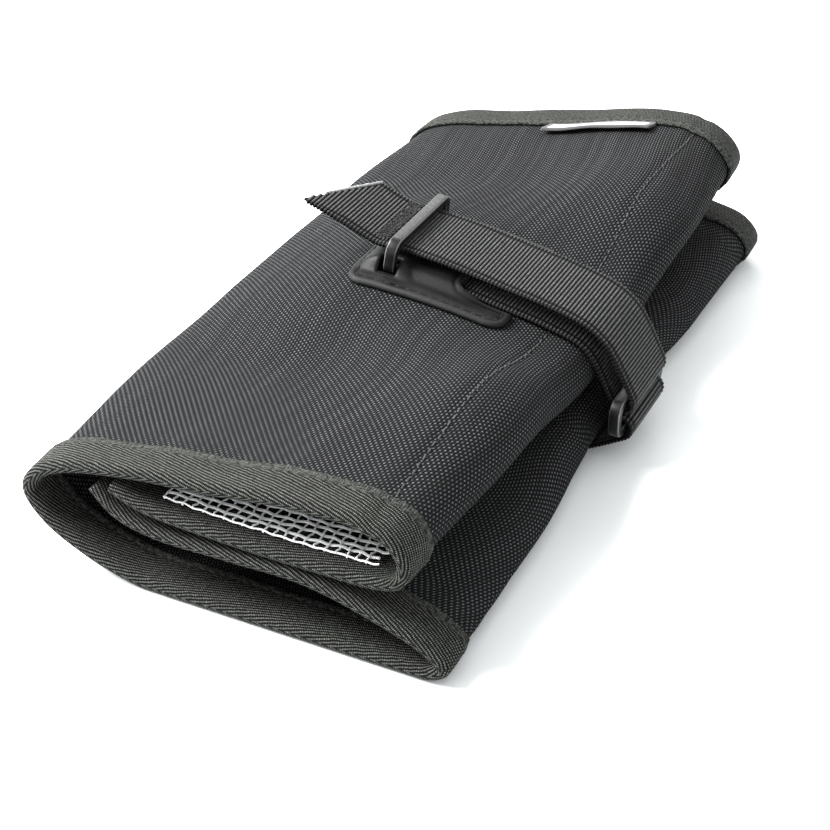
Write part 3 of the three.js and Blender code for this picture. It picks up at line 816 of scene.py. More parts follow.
class Bench:
    """A new material with its surface shader, ready to be wired."""

    def __init__(self, name: str, **sockets: object) -> None:
        """Makes the material and sets the shader's plain numbers.

        Args:
            name: Name of the material.
            sockets: Values on the shader's own inputs, with _ for a space.
        """
        self.material = bpy.data.materials.new(name)
        self.material.use_nodes = True
        self.tree = self.material.node_tree
        self.wiring = Wiring(self.tree)
        self.shader = self.tree.nodes["Principled BSDF"]
        for key, value in sockets.items():
            self.shader.inputs[key.replace("_", " ")].default_value = value

    def group(self, name: str, place: Value, **inputs: float) -> dict[str, Value]:
        """Places a shared pattern, which is built on its first use.

        Args:
            name: Name of the pattern.
            place: Where it is looked up.
            inputs: Its numbers, with _ for a space.

        Returns:
            What it puts out, by name.
        """
        made = self.tree.nodes.new("ShaderNodeGroup")
        made.node_tree = bpy.data.node_groups.get(name) or GROUP_MAKERS[name]()
        for key, value in {"Vector": place, **inputs}.items():
            self.wiring.feed(made.inputs[key.replace("_", " ")], value)
        return {output.name: Value(self.wiring, output) for output in made.outputs}

    def cloth_place(self) -> Value:
        """Returns the piece's own pattern coordinates, in millimetres."""
        place = self.wiring.out("ShaderNodeUVMap", "UV", uv_map="cloth")
        return self.wiring.out("ShaderNodeMapping", "Vector", {"Vector": place, "Scale": (1 / MM,) * 3})

    def object_place(self) -> Value:
        """Returns the object's coordinates."""
        return self.wiring.out("ShaderNodeTexCoord", "Object")

    def value(self, name: str) -> Value:
        """Returns a number that is kept on the piece's vertices."""
        return self.wiring.out("ShaderNodeAttribute", "Fac", attribute_name=name)

    def finish(self, colour: object, roughness: Value, height: Value, depth: float) -> Material:
        """Feeds the shader.

        Args:
            colour: Base colour.
            roughness: Roughness.
            height: Height of the relief, from 0 to 1.
            depth: Its depth in millimetres.

        Returns:
            The material.
        """
        normal = self.wiring.out("ShaderNodeBump", "Normal", {"Height": height, "Distance": depth * MM})
        for key, value in (("Base Color", colour), ("Roughness", roughness), ("Normal", normal)):
            self.wiring.feed(self.shader.inputs[key], value)
        return self.material


@dataclass(frozen=True)
class CanvasFinish:
    """Dark, slightly blue canvas in a coarse plain weave, with a painted highlight on the floats and painted
    shade in the gaps.
    """

    warp_pitch: float = 0.79
    weft_pitch: float = 0.71
    # The gap colour is painted shade between the threads; the float colour is a painted highlight on the
    # thread crowns.
    gap: Colour = grey(0.0015, -0.03)
    yarn: Colour = grey(0.0145, -0.03)
    painted_float_highlight: Colour = grey(0.092, -0.02)
    depth: float = 0.3
    sag: float = 2.5
    wander: float = 0.008

    def material(self) -> Material:
        """Returns the canvas material.

        Returns:
            The material.
        """
        bench = Bench("canvas_weave", Specular_IOR_Level=0.03)
        weave = bench.group(
            "plain_weave", bench.cloth_place(), Warp_Pitch=self.warp_pitch, Weft_Pitch=self.weft_pitch,
            Wander=self.wander)
        fuzz = bench.group("fuzz_and_wear", bench.object_place())
        height = weave["Warp"].most(weave["Weft"] * 0.55)
        # Painted shade: the colour darkens towards the gap colour where the weave is low.
        body = height.scaled(0.12, 0.8).blend(self.gap, self.yarn)
        # Painted highlight on the high thread crowns, stronger on some threads and fibres.
        painted_highlight = height.scaled(0.42, 0.95) ** 1.5 * (weave["Thread"] * 0.7 + 0.5)
        painted_highlight = painted_highlight.math("MULTIPLY", fuzz["Fibre"] * 0.7 + 0.6, clamp=True)
        colour = (fuzz["Patch"] * 0.1).blend(painted_highlight.blend(body, self.painted_float_highlight), self.yarn)
        relief = fuzz["Patch"] * self.sag + (fuzz["Fibre"] * 0.12 + height)
        return bench.finish(colour, height.scaled(0.2, 1.0, 0.95, 0.6), relief, self.depth)


@dataclass(frozen=True)
class TapeFinish:
    """Warm dark grey herringbone tape with a plain selvedge along its hem, painted shade in the grooves and a
    painted highlight on the ribs.
    """

    middle: float
    # The groove colour is painted shade between the ribs; the brightest colour is a painted highlight on the
    # rib crowns.
    groove: Colour = (0.001, 0.0011, 0.0008, 1.0)
    rib: Colour = (0.0135, 0.0145, 0.0125, 1.0)
    painted_highlight: Colour = (0.19, 0.196, 0.178, 1.0)
    hem_dark: Colour = (0.003, 0.0033, 0.0026, 1.0)
    hem_light: Colour = (0.062, 0.065, 0.057, 1.0)
    depth: float = 0.26

    def material(self) -> Material:
        """Returns the tape material.

        Returns:
            The material.
        """
        bench = Bench("herringbone_tape", Specular_IOR_Level=0.06)
        place = bench.cloth_place()
        twill = bench.group("herringbone", place, Middle=self.middle)
        fuzz = bench.group("fuzz_and_wear", bench.object_place())
        height = twill["Height"]
        # Painted shade towards the groove colour where the twill is low, and a painted highlight on the high
        # rib crowns.
        body = height.scaled(0.3, 0.8).blend(self.groove, self.rib)
        ribbed = (height.scaled(0.62, 0.98, 0.0, 0.9) * fuzz["Fibre"]).blend(body, self.painted_highlight)
        speckle = bench.wiring.noise(place, 1.1, 2.0, Roughness=0.8)
        plain = speckle.scaled(0.38, 0.68).blend(self.hem_dark, self.hem_light)
        colour = (twill["Hem"] * 0.85).blend(ribbed, plain)
        return bench.finish(
            colour, height.scaled(0.2, 1.0, 0.9, 0.5), fuzz["Fibre"] * 0.12 + height, self.depth)


@dataclass(frozen=True)
class WebbingFinish:
    """Ribbed webbing: a painted highlight on the crests, painted shade in the grooves and fine threads across
    each rib.
    """

    # The groove colour is painted shade; the brightest colour is a painted highlight on the rib crests.
    groove: Colour = grey(0.0015)
    crest: Colour = grey(0.015)
    painted_highlight: Colour = grey(0.13)
    strand_pitch: float = 0.52
    depth: float = 0.1

    def material(self) -> Material:
        """Returns the webbing material.

        Returns:
            The material.
        """
        bench = Bench("ribbed_webbing", Specular_IOR_Level=0.08)
        place = bench.object_place()
        strand = (place.split()[1] * (1 / (self.strand_pitch * MM))).wave()
        fuzz = bench.group("fuzz_and_wear", place)
        crest = bench.value("crest")
        # Painted shade low on each rib and a painted highlight at its crest, by the rib's crest height.
        body = crest.scaled(0.45, 0.95).blend(self.groove, self.crest)
        painted_highlight_share = crest.scaled(0.8, 1.0) * fuzz["Fibre"]
        painted_highlight_share = painted_highlight_share.math("MULTIPLY", strand * 0.5 + 0.5, clamp=True)
        return bench.finish(
            painted_highlight_share.blend(body, self.painted_highlight), fuzz["Fibre"].scaled(0.0, 1.0, 0.6, 0.42),
            fuzz["Fibre"] * 0.35 + strand * 0.6, self.depth)


@dataclass(frozen=True)
class ThreadFinish:
    """Twisted thread, from a dark sewing thread to near-white net yarn."""

    name: str
    dark: Colour
    light: Colour
    rough: float = 0.6
    twist: float = 0.35
    depth: float = 0.08

    def material(self) -> Material:
        """Returns the thread material.

        Returns:
            The material.
        """
        bench = Bench(self.name, Specular_IOR_Level=0.2)
        fuzz = bench.group("fuzz_and_wear", bench.object_place(), Fibre_Scale=1.0 / (self.twist * MM))
        roughness = fuzz["Patch"].scaled(0.0, 1.0, self.rough, self.rough + 0.2)
        return bench.finish(fuzz["Fibre"].blend(self.dark, self.light), roughness, fuzz["Fibre"], self.depth)


@dataclass(frozen=True)
class LeatherFinish:
    """Smooth dark leather with a fine grain, a worn pale rim and painted shade along the crease inside it."""

    rim_width: float
    crease: float
    body: Colour = grey(0.003)
    worn: Colour = grey(0.008)
    rim: Colour = grey(0.012)
    # Painted shade in the crease groove.
    crease_painted_shade: Colour = grey(0.0008)
    grain: float = 1900.0
    depth: float = 0.02

    def material(self) -> Material:
        """Returns the leather material.

        Returns:
            The material.
        """
        bench = Bench("patch_leather", Specular_IOR_Level=0.11)
        place = bench.object_place()
        grain = bench.wiring.out("ShaderNodeTexVoronoi", "Distance", {"Vector": place, "Scale": self.grain})
        fuzz = bench.group("fuzz_and_wear", place, Fibre_Scale=1200.0, Patch_Scale=90.0)
        distance = bench.value("rim_distance")
        body = (fuzz["Patch"] * 0.8).blend(self.body, self.worn)
        rim = distance.scaled(self.rim_width - 0.3, self.rim_width + 0.4, 1.0, 0.0)
        colour = (rim * (fuzz["Fibre"] * 0.35 + 0.65)).blend(body, self.rim)
        # Painted shade along the crease line.
        crease_painted_shade = abs(distance - self.crease).scaled(0.12, 0.55, 0.85, 0.0)
        return bench.finish(
            crease_painted_shade.blend(colour, self.crease_painted_shade), fuzz["Patch"].scaled(0.0, 1.0, 0.42, 0.6),
            fuzz["Fibre"] * 0.5 + grain, self.depth)


@dataclass(frozen=True)
class WireFinish:
    """Black-coated steel wire, rubbed to bare metal along its corners, which also carry a painted edge
    highlight.
    """

    body: Colour = grey(0.002)
    # Rubbed metal on the bevelled corners, also a painted edge highlight.
    rubbed_edge_highlight: Colour = grey(0.16)
    depth: float = 0.01

    def material(self) -> Material:
        """Returns the wire material.

        Returns:
            The material.
        """
        bench = Bench("gunmetal_wire", Specular_IOR_Level=0.2)
        fuzz = bench.group("fuzz_and_wear", bench.object_place(), Fibre_Scale=900.0, Patch_Scale=200.0)
        # Wear and a painted edge highlight on every bevel.
        rub_and_highlight_share = bench.value("corner").scaled(0.4, 1.0) * (fuzz["Fibre"] * 0.4 + 0.6)
        bare = rub_and_highlight_share.most(fuzz["Patch"] * 0.03)
        bench.wiring.feed(bench.shader.inputs["Metallic"], bare)
        return bench.finish(
            bare.blend(self.body, self.rubbed_edge_highlight), fuzz["Fibre"].scaled(0.0, 1.0, 0.34, 0.44), fuzz["Fibre"],
            self.depth)


@dataclass(frozen=True)
class LabelFinish:
    """Dark woven label with a blank pale strip along its middle."""

    length: float
    width: float
    side: float = 1.6
    near: float = 1.3
    far: float = 1.1
    dark: Colour = grey(0.01)
    pale: Colour = grey(0.36)
    depth: float = 0.08

    def material(self) -> Material:
        """Returns the label material.

        Returns:
            The material.
        """
        bench = Bench("label_cloth", Sheen_Weight=0.15)
        place = bench.cloth_place()
        x, y, _ = place.split()
        weave = bench.group("plain_weave", place, Warp_Pitch=0.3, Weft_Pitch=0.22, Wander=0.0)
        inside = (x - self.side).least(x.below(self.length - self.side)).least(
            (y - self.near).least(y.below(self.width - self.far)))
        strip = inside.scaled(-0.1, 0.1)
        shade = weave["Height"] * 0.5 + 0.5
        colour = strip.blend(shade.blend(grey(0.003), self.dark), shade.blend(grey(0.2), self.pale))
        return bench.finish(colour, strip.scaled(0.0, 1.0, 0.8, 0.6), weave["Height"], self.depth)


# Geometry Nodes


class StitchShape(Enum):
    """How a stitch lies on the cloth: its rise above it and how deep its ends sink."""

    SUNK = (0.1, 0.28)
    PROUD = (0.28, 0.2)


def oriented_points(
    name: str, places: Array, headings: Array, facings: Array, sizes: Array | None = None,
) -> Piece:
    """Makes a mesh of loose points with the directions that instances take.

    Args:
        name: Name of the object.
        places: Points in millimetres.
        headings: Direction of each instance's x axis.
        facings: Direction of each instance's z axis.
        sizes: Scale of each instance, or none for one.

    Returns:
        The object.
    """
    mesh = bpy.data.meshes.new(name)
    mesh.from_pydata((places * MM).tolist(), [], [])
    sizes = np.ones_like(places) if sizes is None else sizes
    for key, vectors in (("heading", headings), ("facing", facings), ("size", sizes)):
        attribute = mesh.attributes.new(key, "FLOAT_VECTOR", "POINT")
        attribute.data.foreach_set("vector", np.asarray(vectors, np.float32).ravel())
    return linked(name, mesh)


class Grower(Wiring):
    """Wiring of a Geometry Nodes tree whose result is one dressed mesh."""

    def tube(self, line: Value, sides: int, radius: object) -> Value:
        """Returns a round tube along a line.

        Args:
            line: The curve.
            sides: Sides of the tube.
            radius: Its radius.

        Returns:
            The tube.
        """
        ring = self.out("GeometryNodeCurvePrimitiveCircle", "Curve", {"Resolution": sides, "Radius": radius})
        inputs = {"Curve": line, "Profile Curve": ring, "Fill Caps": True}
        return self.out("GeometryNodeCurveToMesh", "Mesh", inputs)

    def copies(self, points: Value, shape: Value) -> Value:
        """Puts a copy of a shape on every point that carries heading, facing and size.

        Args:
            points: Where the copies go.
            shape: The shape.

        Returns:
            The copies.
        """
        heading, facing, size = (
            self.out("GeometryNodeInputNamedAttribute", "Attribute", {"Name": name}, data_type="FLOAT_VECTOR")
            for name in ("heading", "facing", "size"))
        turn = self.out("FunctionNodeAxesToRotation", "Rotation", {
            "Primary Axis": facing, "Secondary Axis": heading}, primary_axis="Z", secondary_axis="X")
        return self.out("GeometryNodeInstanceOnPoints", "Instances", {
            "Points": points, "Instance": shape, "Rotation": turn, "Scale": size})

    def dress(self, shape: Value, material: Value) -> bpy.types.NodeTree:
        """Makes the shape real mesh, smooth and of that material, and returns the tree.

        Args:
            shape: The shape.
            material: The material.

        Returns:
            The tree.
        """
        shape = self.out("GeometryNodeRealizeInstances", "Geometry", {"Geometry": shape})
        shape = self.out("GeometryNodeSetShadeSmooth", "Geometry", {"Geometry": shape})
        shape = self.out("GeometryNodeSetMaterial", "Geometry", {"Geometry": shape, "Material": material})
        return self.deliver(Geometry=shape)


def new_grower(name: str, inputs: dict[str, float]) -> tuple[Grower, dict[str, Value]]:
    """Starts a Geometry Nodes tree with those inputs, its geometry and its material."""
    inputs = {"Geometry": None, **inputs, "Material": None}
    return new_tree(name, "GeometryNodeTree", inputs, ("Geometry",), Grower)


def stitch_tree() -> bpy.types.NodeTree:
    """Builds the tree that lays an arched stitch on every point.

    Returns:
        The tree.
    """
    wiring, given = new_grower(
        "stitch_run", {"Length": 0.002, "Thickness": 0.0005, "Rise": 0.0003, "Sink": 0.0003})
    half = given["Length"] * 0.5
    low = given["Sink"] * -1.0
    line = wiring.out("GeometryNodeCurveQuadraticBezier", "Curve", {
        "Resolution": 5, "Start": wiring.vector(X=half * -1.0, Z=low),
        "Middle": wiring.vector(Z=given["Rise"] * 2.0 + given["Sink"]), "End": wiring.vector(X=half, Z=low)})
    tube = wiring.tube(line, 6, given["Thickness"] * 0.5)
    return wiring.dress(wiring.copies(given["Geometry"], tube), given["Material"])


def rib_tree() -> bpy.types.NodeTree:
    """Builds the tree that lays a rib across the webbing on every point, looped at both ends.

    Returns:
        The tree.
    """
    wiring, given = new_grower(
        "webbing_ribs", {"Width": 0.025, "Rib Length": 0.0011, "Rib Height": 0.0016, "Selvedge": 0.0019})
    half, length, selvedge = given["Width"] * 0.5, given["Rib Length"], given["Selvedge"]
    line = wiring.out("GeometryNodeCurvePrimitiveLine", "Curve", {
        "Start": wiring.vector(Y=half * -1.0), "End": wiring.vector(Y=half)})
    line = wiring.out("GeometryNodeResampleCurve", "Curve", {"Curve": line, "Count": 40})
    rod = wiring.tube(line, 10, 0.5)
    x, y, z = wiring.out("GeometryNodeInputPosition", "Position").split()
    to_edge = (half - abs(y)).most(0.0)
    rounded = (to_edge / (length * 0.6)).least(1.0) ** 0.45
    neck = (to_edge - selvedge) / (selvedge * 0.22)
    swell = rounded * ((neck * neck * -1.0).math("EXPONENT") * 0.38).below(1.0)
    # crest keeps the height on each rib, which the webbing finish paints as shade low down and as a highlight
    # at the top.
    kept = wiring.out("GeometryNodeStoreNamedAttribute", "Geometry", {
        "Geometry": rod, "Name": "crest", "Value": abs(z * 2.0) * swell}, data_type="FLOAT", domain="POINT")
    place = wiring.vector(X=x * length * swell, Y=y, Z=z * given["Rib Height"] * swell)
    shaped = wiring.out("GeometryNodeSetPosition", "Geometry", {"Geometry": kept, "Position": place})
    return wiring.dress(wiring.copies(given["Geometry"], shaped), given["Material"])


def net_tree() -> bpy.types.NodeTree:
    """Builds the tree that turns drawn lines into wavering threads.

    Returns:
        The tree.
    """
    wiring, given = new_grower("net_threads", {"Thickness": 0.0005, "Waver": 0.0003, "Seed": float(SEED)})
    noise = wiring.out("ShaderNodeTexNoise", "Color", {
        "W": given["Seed"], "Scale": 320.0, "Detail": 1.0}, noise_dimensions="4D")
    reach = given["Waver"] * 4.0
    x, y, z = ((part - 0.5) * reach for part in noise.split())
    moved = wiring.out("GeometryNodeSetPosition", "Geometry", {
        "Geometry": given["Geometry"], "Offset": wiring.vector(X=x, Y=y, Z=z)})
    lines = wiring.out("GeometryNodeMeshToCurve", "Curve", {"Mesh": moved})
    return wiring.dress(wiring.tube(lines, 6, given["Thickness"] * 0.5), given["Material"])


TREE_MAKERS = {"stitch_run": stitch_tree, "webbing_ribs": rib_tree, "net_threads": net_tree}


def grown(piece: Piece, tree_name: str, material: Material, **sizes: float) -> Piece:
    """Runs a tree on an object and keeps the result as its plain mesh.

    Args:
        piece: Object with the points or lines.
        tree_name: Which tree.
        material: The material that the tree sets.
        sizes: The tree's lengths in millimetres, with _ for a space.

    Returns:
        The same object, without a modifier.
    """
    tree = bpy.data.node_groups.get(tree_name) or TREE_MAKERS[tree_name]()
    modifier = piece.modifiers.new(tree_name, "NODES")
    modifier.node_group = tree
    inputs = {"Material": material, **{key.replace("_", " "): size * MM for key, size in sizes.items()}}
    for item in tree.interface.items_tree:
        if item.item_type == "SOCKET" and item.in_out == "INPUT" and item.name in inputs:
            modifier[item.identifier] = inputs[item.name]
    bpy.context.view_layer.update()
    depsgraph = bpy.context.evaluated_depsgraph_get()
    mesh = bpy.data.meshes.new_from_object(
        piece.evaluated_get(depsgraph), preserve_all_data_layers=True, depsgraph=depsgraph)
    drawn = piece.data
    piece.modifiers.clear()
    piece.data = mesh
    bpy.data.meshes.remove(drawn)
    mesh.name = piece.name
    points = np.empty(len(mesh.vertices) * 3)
    mesh.vertices.foreach_get("co", points)
    mesh.calc_loop_triangles()
    triangles = np.empty(len(mesh.loop_triangles) * 3, np.int32)
    mesh.loop_triangles.foreach_get("vertices", triangles)
    if signed_volume(points.reshape(-1, 3), triangles.reshape(-1, 3)) < 0:
        mesh.flip_normals()
    return piece


def sew(
    name: str, places: Array, headings: Array, facings: Array, thread: Material, slot: str,
    length: float, thickness: float, shape: StitchShape,
) -> Piece:
    """Lays a run of stitches.

    Args:
        name: Name of the piece.
        places: Middle of each stitch, on the cloth.
        headings: Its direction.
        facings: The cloth's outward normal there.
        thread: Its material.
        slot: Not used.
        length: Length of a stitch.
        thickness: Thickness of the thread.
        shape: How it lies.

    Returns:
        The finished piece.
    """
    rise, sink = shape.value
    points = oriented_points(name, places, headings, facings)
    grown(points, "stitch_run", thread, Length=length, Thickness=thickness, Rise=rise, Sink=sink)
    return finish_piece(points, thread)


# The canvas and its tapes


@dataclass
class CanvasSheet:
    """The long canvas sheet, folded over itself from flap to flap."""

    sheet: FoldedSheet
    columns: int = 300
    rows: int = 112

    def flat_length(self) -> float:
        """Returns the cloth's length before it was folded."""
        return float(self.sheet.lengths(0.0)[-1])

    def build(self, material: Material) -> Piece:
        """Args:
            material: Its finish.

        Returns:
            The finished piece.
        """
        sheet = self.sheet
        margin = sheet.tape + sheet.seam_gap
        rows = []
        for y in np.linspace(-sheet.half_length + margin, sheet.half_length - margin, self.rows):
            total = sheet.lengths(float(y))[-1]
            run = np.linspace(margin, total - margin, self.columns)
            params = sheet.param_at_length(run, y)
            outer, inner = (sheet.point(params, y, side * sheet.half_canvas) for side in (-1, 1))
            rows.append((outer, inner, np.stack([run, np.full(self.columns, y)], axis=1)))
        piece = double_sheet("canvas_sheet", rows)
        finish_piece(piece, material, ["canvas_shell"])
        self.flat_length() * MM
        return piece


@dataclass
class FoldedTape:
    """A tape folded over a raw edge, with a rounded nose, a stitched hem and a soft wobble."""

    sheet: FoldedSheet
    stitch_inset: float = 1.6
    stitch_pitch: float = 2.9
    stitch_length: float = 2.1
    stitch_depth: float = 0.24
    arm_points: int = 9
    nose_steps: int = 6
    station_pitch: float = 1.25
    wobble: float = 0.16
    pucker: float = 0.12

    def section(self) -> tuple[Array, Array]:
        """Works out the tape's section.

        Returns:
            Offsets from the cloth's middle plane with distances from the folded edge, and the
            distance of each point along the tape from its first hem.
        """
        sheet = self.sheet
        outer = sheet.tape_outside - HAIR
        inner = sheet.half_canvas + sheet.seam_gap * 0.5
        width = sheet.tape_width
        dip = width - self.stitch_inset
        arm = [(inner + 0.35, width + 0.1), (outer - 0.22, width + 0.04), (outer - 0.06, width - 0.45),
               (outer - 0.02, dip + 0.55), (outer - 0.22, dip), (outer, dip - 0.6), (outer + 0.03, 7.2),
               (outer, 4.6), (outer - 0.02, 2.9)]
        angles = np.linspace(0, math.pi, self.nose_steps + 2)[1:-1]
        nose = [(outer * math.cos(a), outer * (1 - math.sin(a))) for a in angles]
        back = [(-offset, distance) for offset, distance in reversed(arm)]
        lining = [(-inner, width - 0.6), (-inner, width / 2), (-inner, 1.7), (0.0, 1.25), (inner, 1.7),
                  (inner, width / 2), (inner, width - 0.6)]
        points = np.array(arm + nose + back + lining)
        return points, travelled(points)

    def outer_length(self) -> float:
        """Returns the length of the tape's outer face from hem to hem.

        Returns:
            The length.
        """
        _, across = self.section()
        outer_points = 2 * self.arm_points + self.nose_steps
        return float(across[outer_points - 1])

    def place(self, run: Array, distance: Array, offset: Array) -> Array:
        """Returns points over the edge at ways along it, distances from it and offsets from the cloth."""
        raise NotImplementedError

    def sweep(
        self, name: str, node: str, material: Material, runs: Array, phases: tuple[float, float],
    ) -> Piece:
        """Sweeps the section along the edge.

        Args:
            name: Name of the piece.
            node: The CAD node that it replaces.
            material: The tape finish.
            runs: Stations along the edge.
            phases: Phase of the hem's wobble, and what the inner face adds to it and the outer takes off.

        Returns:
            The finished piece.
        """
        sheet = self.sheet
        section, across = self.section()
        count = len(section)
        run = np.repeat(runs, count)
        offset, distance = (np.tile(section[:, k], len(runs)) for k in range(2))
        phase = phases[0] + phases[1] * np.sign(offset)
        sway = self.wobble * (np.sin(run * 0.23 + phase) + 0.6 * np.sin(run * 0.61 + 2 * phase))
        distance = np.maximum(distance + ease((distance - 6.0) / 5.0) * sway, 1e-3)
        outside = np.abs(offset) > sheet.half_canvas + sheet.seam_gap
        swell = self.pucker * ease((distance - 5.0) / 4.0) * np.cos(2 * math.pi * run / self.stitch_pitch)
        points = self.place(run, distance, offset + np.sign(offset) * outside * swell)
        uv = np.stack([run, np.tile(across, len(runs))], axis=1)
        faces = loft_faces(len(runs), count, [tuple(range(count))])
        piece = make_piece(name, points, faces, uv, flat_caps=True)
        return finish_piece(piece, material, [node])

    def on_both_faces(self, middle: Array, heading: Array, normal: Array) -> tuple[Array, Array, Array]:
        """Returns places, headings and facings of stitches on the tape's two faces."""
        reach = self.sheet.tape_outside - self.stitch_depth
        return (
            np.concatenate([middle + normal * reach, middle - normal * reach]),
            np.concatenate([heading, heading]),
            np.concatenate([normal, -normal]))


@dataclass
class LongTape(FoldedTape):
    """The tape over the near or the far long edge of the sheet."""

    end: int = -1

    def place(self, run: Array, distance: Array, offset: Array) -> Array:
        """Returns points round the whole fold.

        Args:
            run: Lengths along the edge.
            distance: Distance from the edge.
            offset: Distance from the middle plane, positive towards the inner face.

        Returns:
            The points, as x, y and z.
        """
        edge = self.end * self.sheet.half_length
        param = self.sheet.param_at_length(run, edge)
        return self.sheet.point(param, edge - self.end * distance, offset)

    def build(self, name: str, node: str, material: Material) -> Piece:
        """Builds the tape in that finish in place of the CAD node.

        Args:
            name: Name of the piece.
            node: The CAD node that it replaces.
            material: Its finish.

        Returns:
            The finished piece.
        """
        total = self.sheet.lengths(self.end * self.sheet.half_length)[-1]
        stations = np.linspace(0, total, int(total / self.station_pitch))
        return self.sweep(name, node, material, stations, (1.0, 1.0))

    def stitches(self) -> tuple[Array, Array, Array]:
        """Returns places, headings and facings of the stitches on both faces.

        Returns:
            The three, one row for each stitch.
        """
        y = self.end * (self.sheet.half_length - self.sheet.tape_width + self.stitch_inset)
        total = self.sheet.lengths(y)[-1]
        runs = np.arange(self.stitch_pitch, total - self.stitch_pitch, self.stitch_pitch)
        places = np.full(len(runs), y)
        return self.on_both_faces(*self.sheet.frame_at(self.sheet.param_at_length(runs, places), places))


@dataclass
class FlapTape(FoldedTape):
    """The tape over the free end of a flap, between the two long tapes."""

    lower: bool = False

    def place(self, run: Array, distance: Array, offset: Array) -> Array:
        """Returns points along the flap's free end."""
        param = self.sheet.param_at_length(-distance if self.lower else distance, run)
        return self.sheet.point(param, run, offset)

    def build(self, name: str, node: str, material: Material) -> Piece:
        """Builds the tape in that finish in place of the CAD node.

        Args:
            name: Name of the piece.
            node: The CAD node that it replaces.
            material: Its finish.

        Returns:
            The finished piece.
        """
        reach = self.sheet.half_length - self.sheet.tape_width - self.sheet.seam_gap
        stations = np.linspace(-reach, reach, int(2 * reach / self.station_pitch))
        return self.sweep(name, node, material, stations, (2.0, 0.0))

    def stitches(self) -> tuple[Array, Array, Array]:
        """Returns places, headings and facings of the stitches on both faces.

        Returns:
            The three, one row for each stitch.
        """
        sheet = self.sheet
        reach = sheet.half_length - sheet.tape_width - 2.0
        y = np.arange(-reach, reach, self.stitch_pitch)
        distance = np.full(len(y), sheet.tape_width - self.stitch_inset)
        param = sheet.param_at_length(-distance if self.lower else distance, y)
        middle, _, normal = sheet.frame_at(param, y)
        return self.on_both_faces(middle, np.tile(SIDEWAYS, (len(y), 1)), normal)


# Webbing


def drawn_centre_line(node: str, half_width: float) -> Array:
    """Reads the middle line of a flat CAD band from its near side.

    Args:
        node: Name of the CAD node.
        half_width: y of that side, below nought.

    Returns:
        x and z of the line from its end with the lowest x, in millimetres.
    """
    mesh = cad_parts[node].data
    mesh.calc_loop_triangles()
    corners = np.array([vertex.co for vertex in mesh.vertices]) / MM
    keys = [tuple(np.round(corner[[0, 2]], 2)) for corner in corners]
    uses: dict[frozenset, int] = {}
    for triangle in mesh.loop_triangles:
        if any(abs(corners[i][1] + half_width) > 0.02 for i in triangle.vertices):
            continue
        ring = [keys[i] for i in triangle.vertices]
        for a, b in zip(ring, ring[1:] + ring[:1]):
            uses[frozenset((a, b))] = uses.get(frozenset((a, b)), 0) + 1
    joined: dict[tuple, list[tuple]] = {}
    for pair, count in uses.items():
        if count == 1 and len(pair) == 2:
            a, b = pair
            joined.setdefault(a, []).append(b)
            joined.setdefault(b, []).append(a)
    first = min(joined)
    cap = min(joined[first], key=lambda key: math.dist(key, first))
    order = [first]
    previous, current = cap, first
    while current != cap:
        following = next(key for key in joined[current] if key != previous)
        previous, current = current, following
        order.append(current)
    loop = np.array(order)
    half = len(loop) // 2
    return (loop[:half] + loop[::-1][:half]) / 2


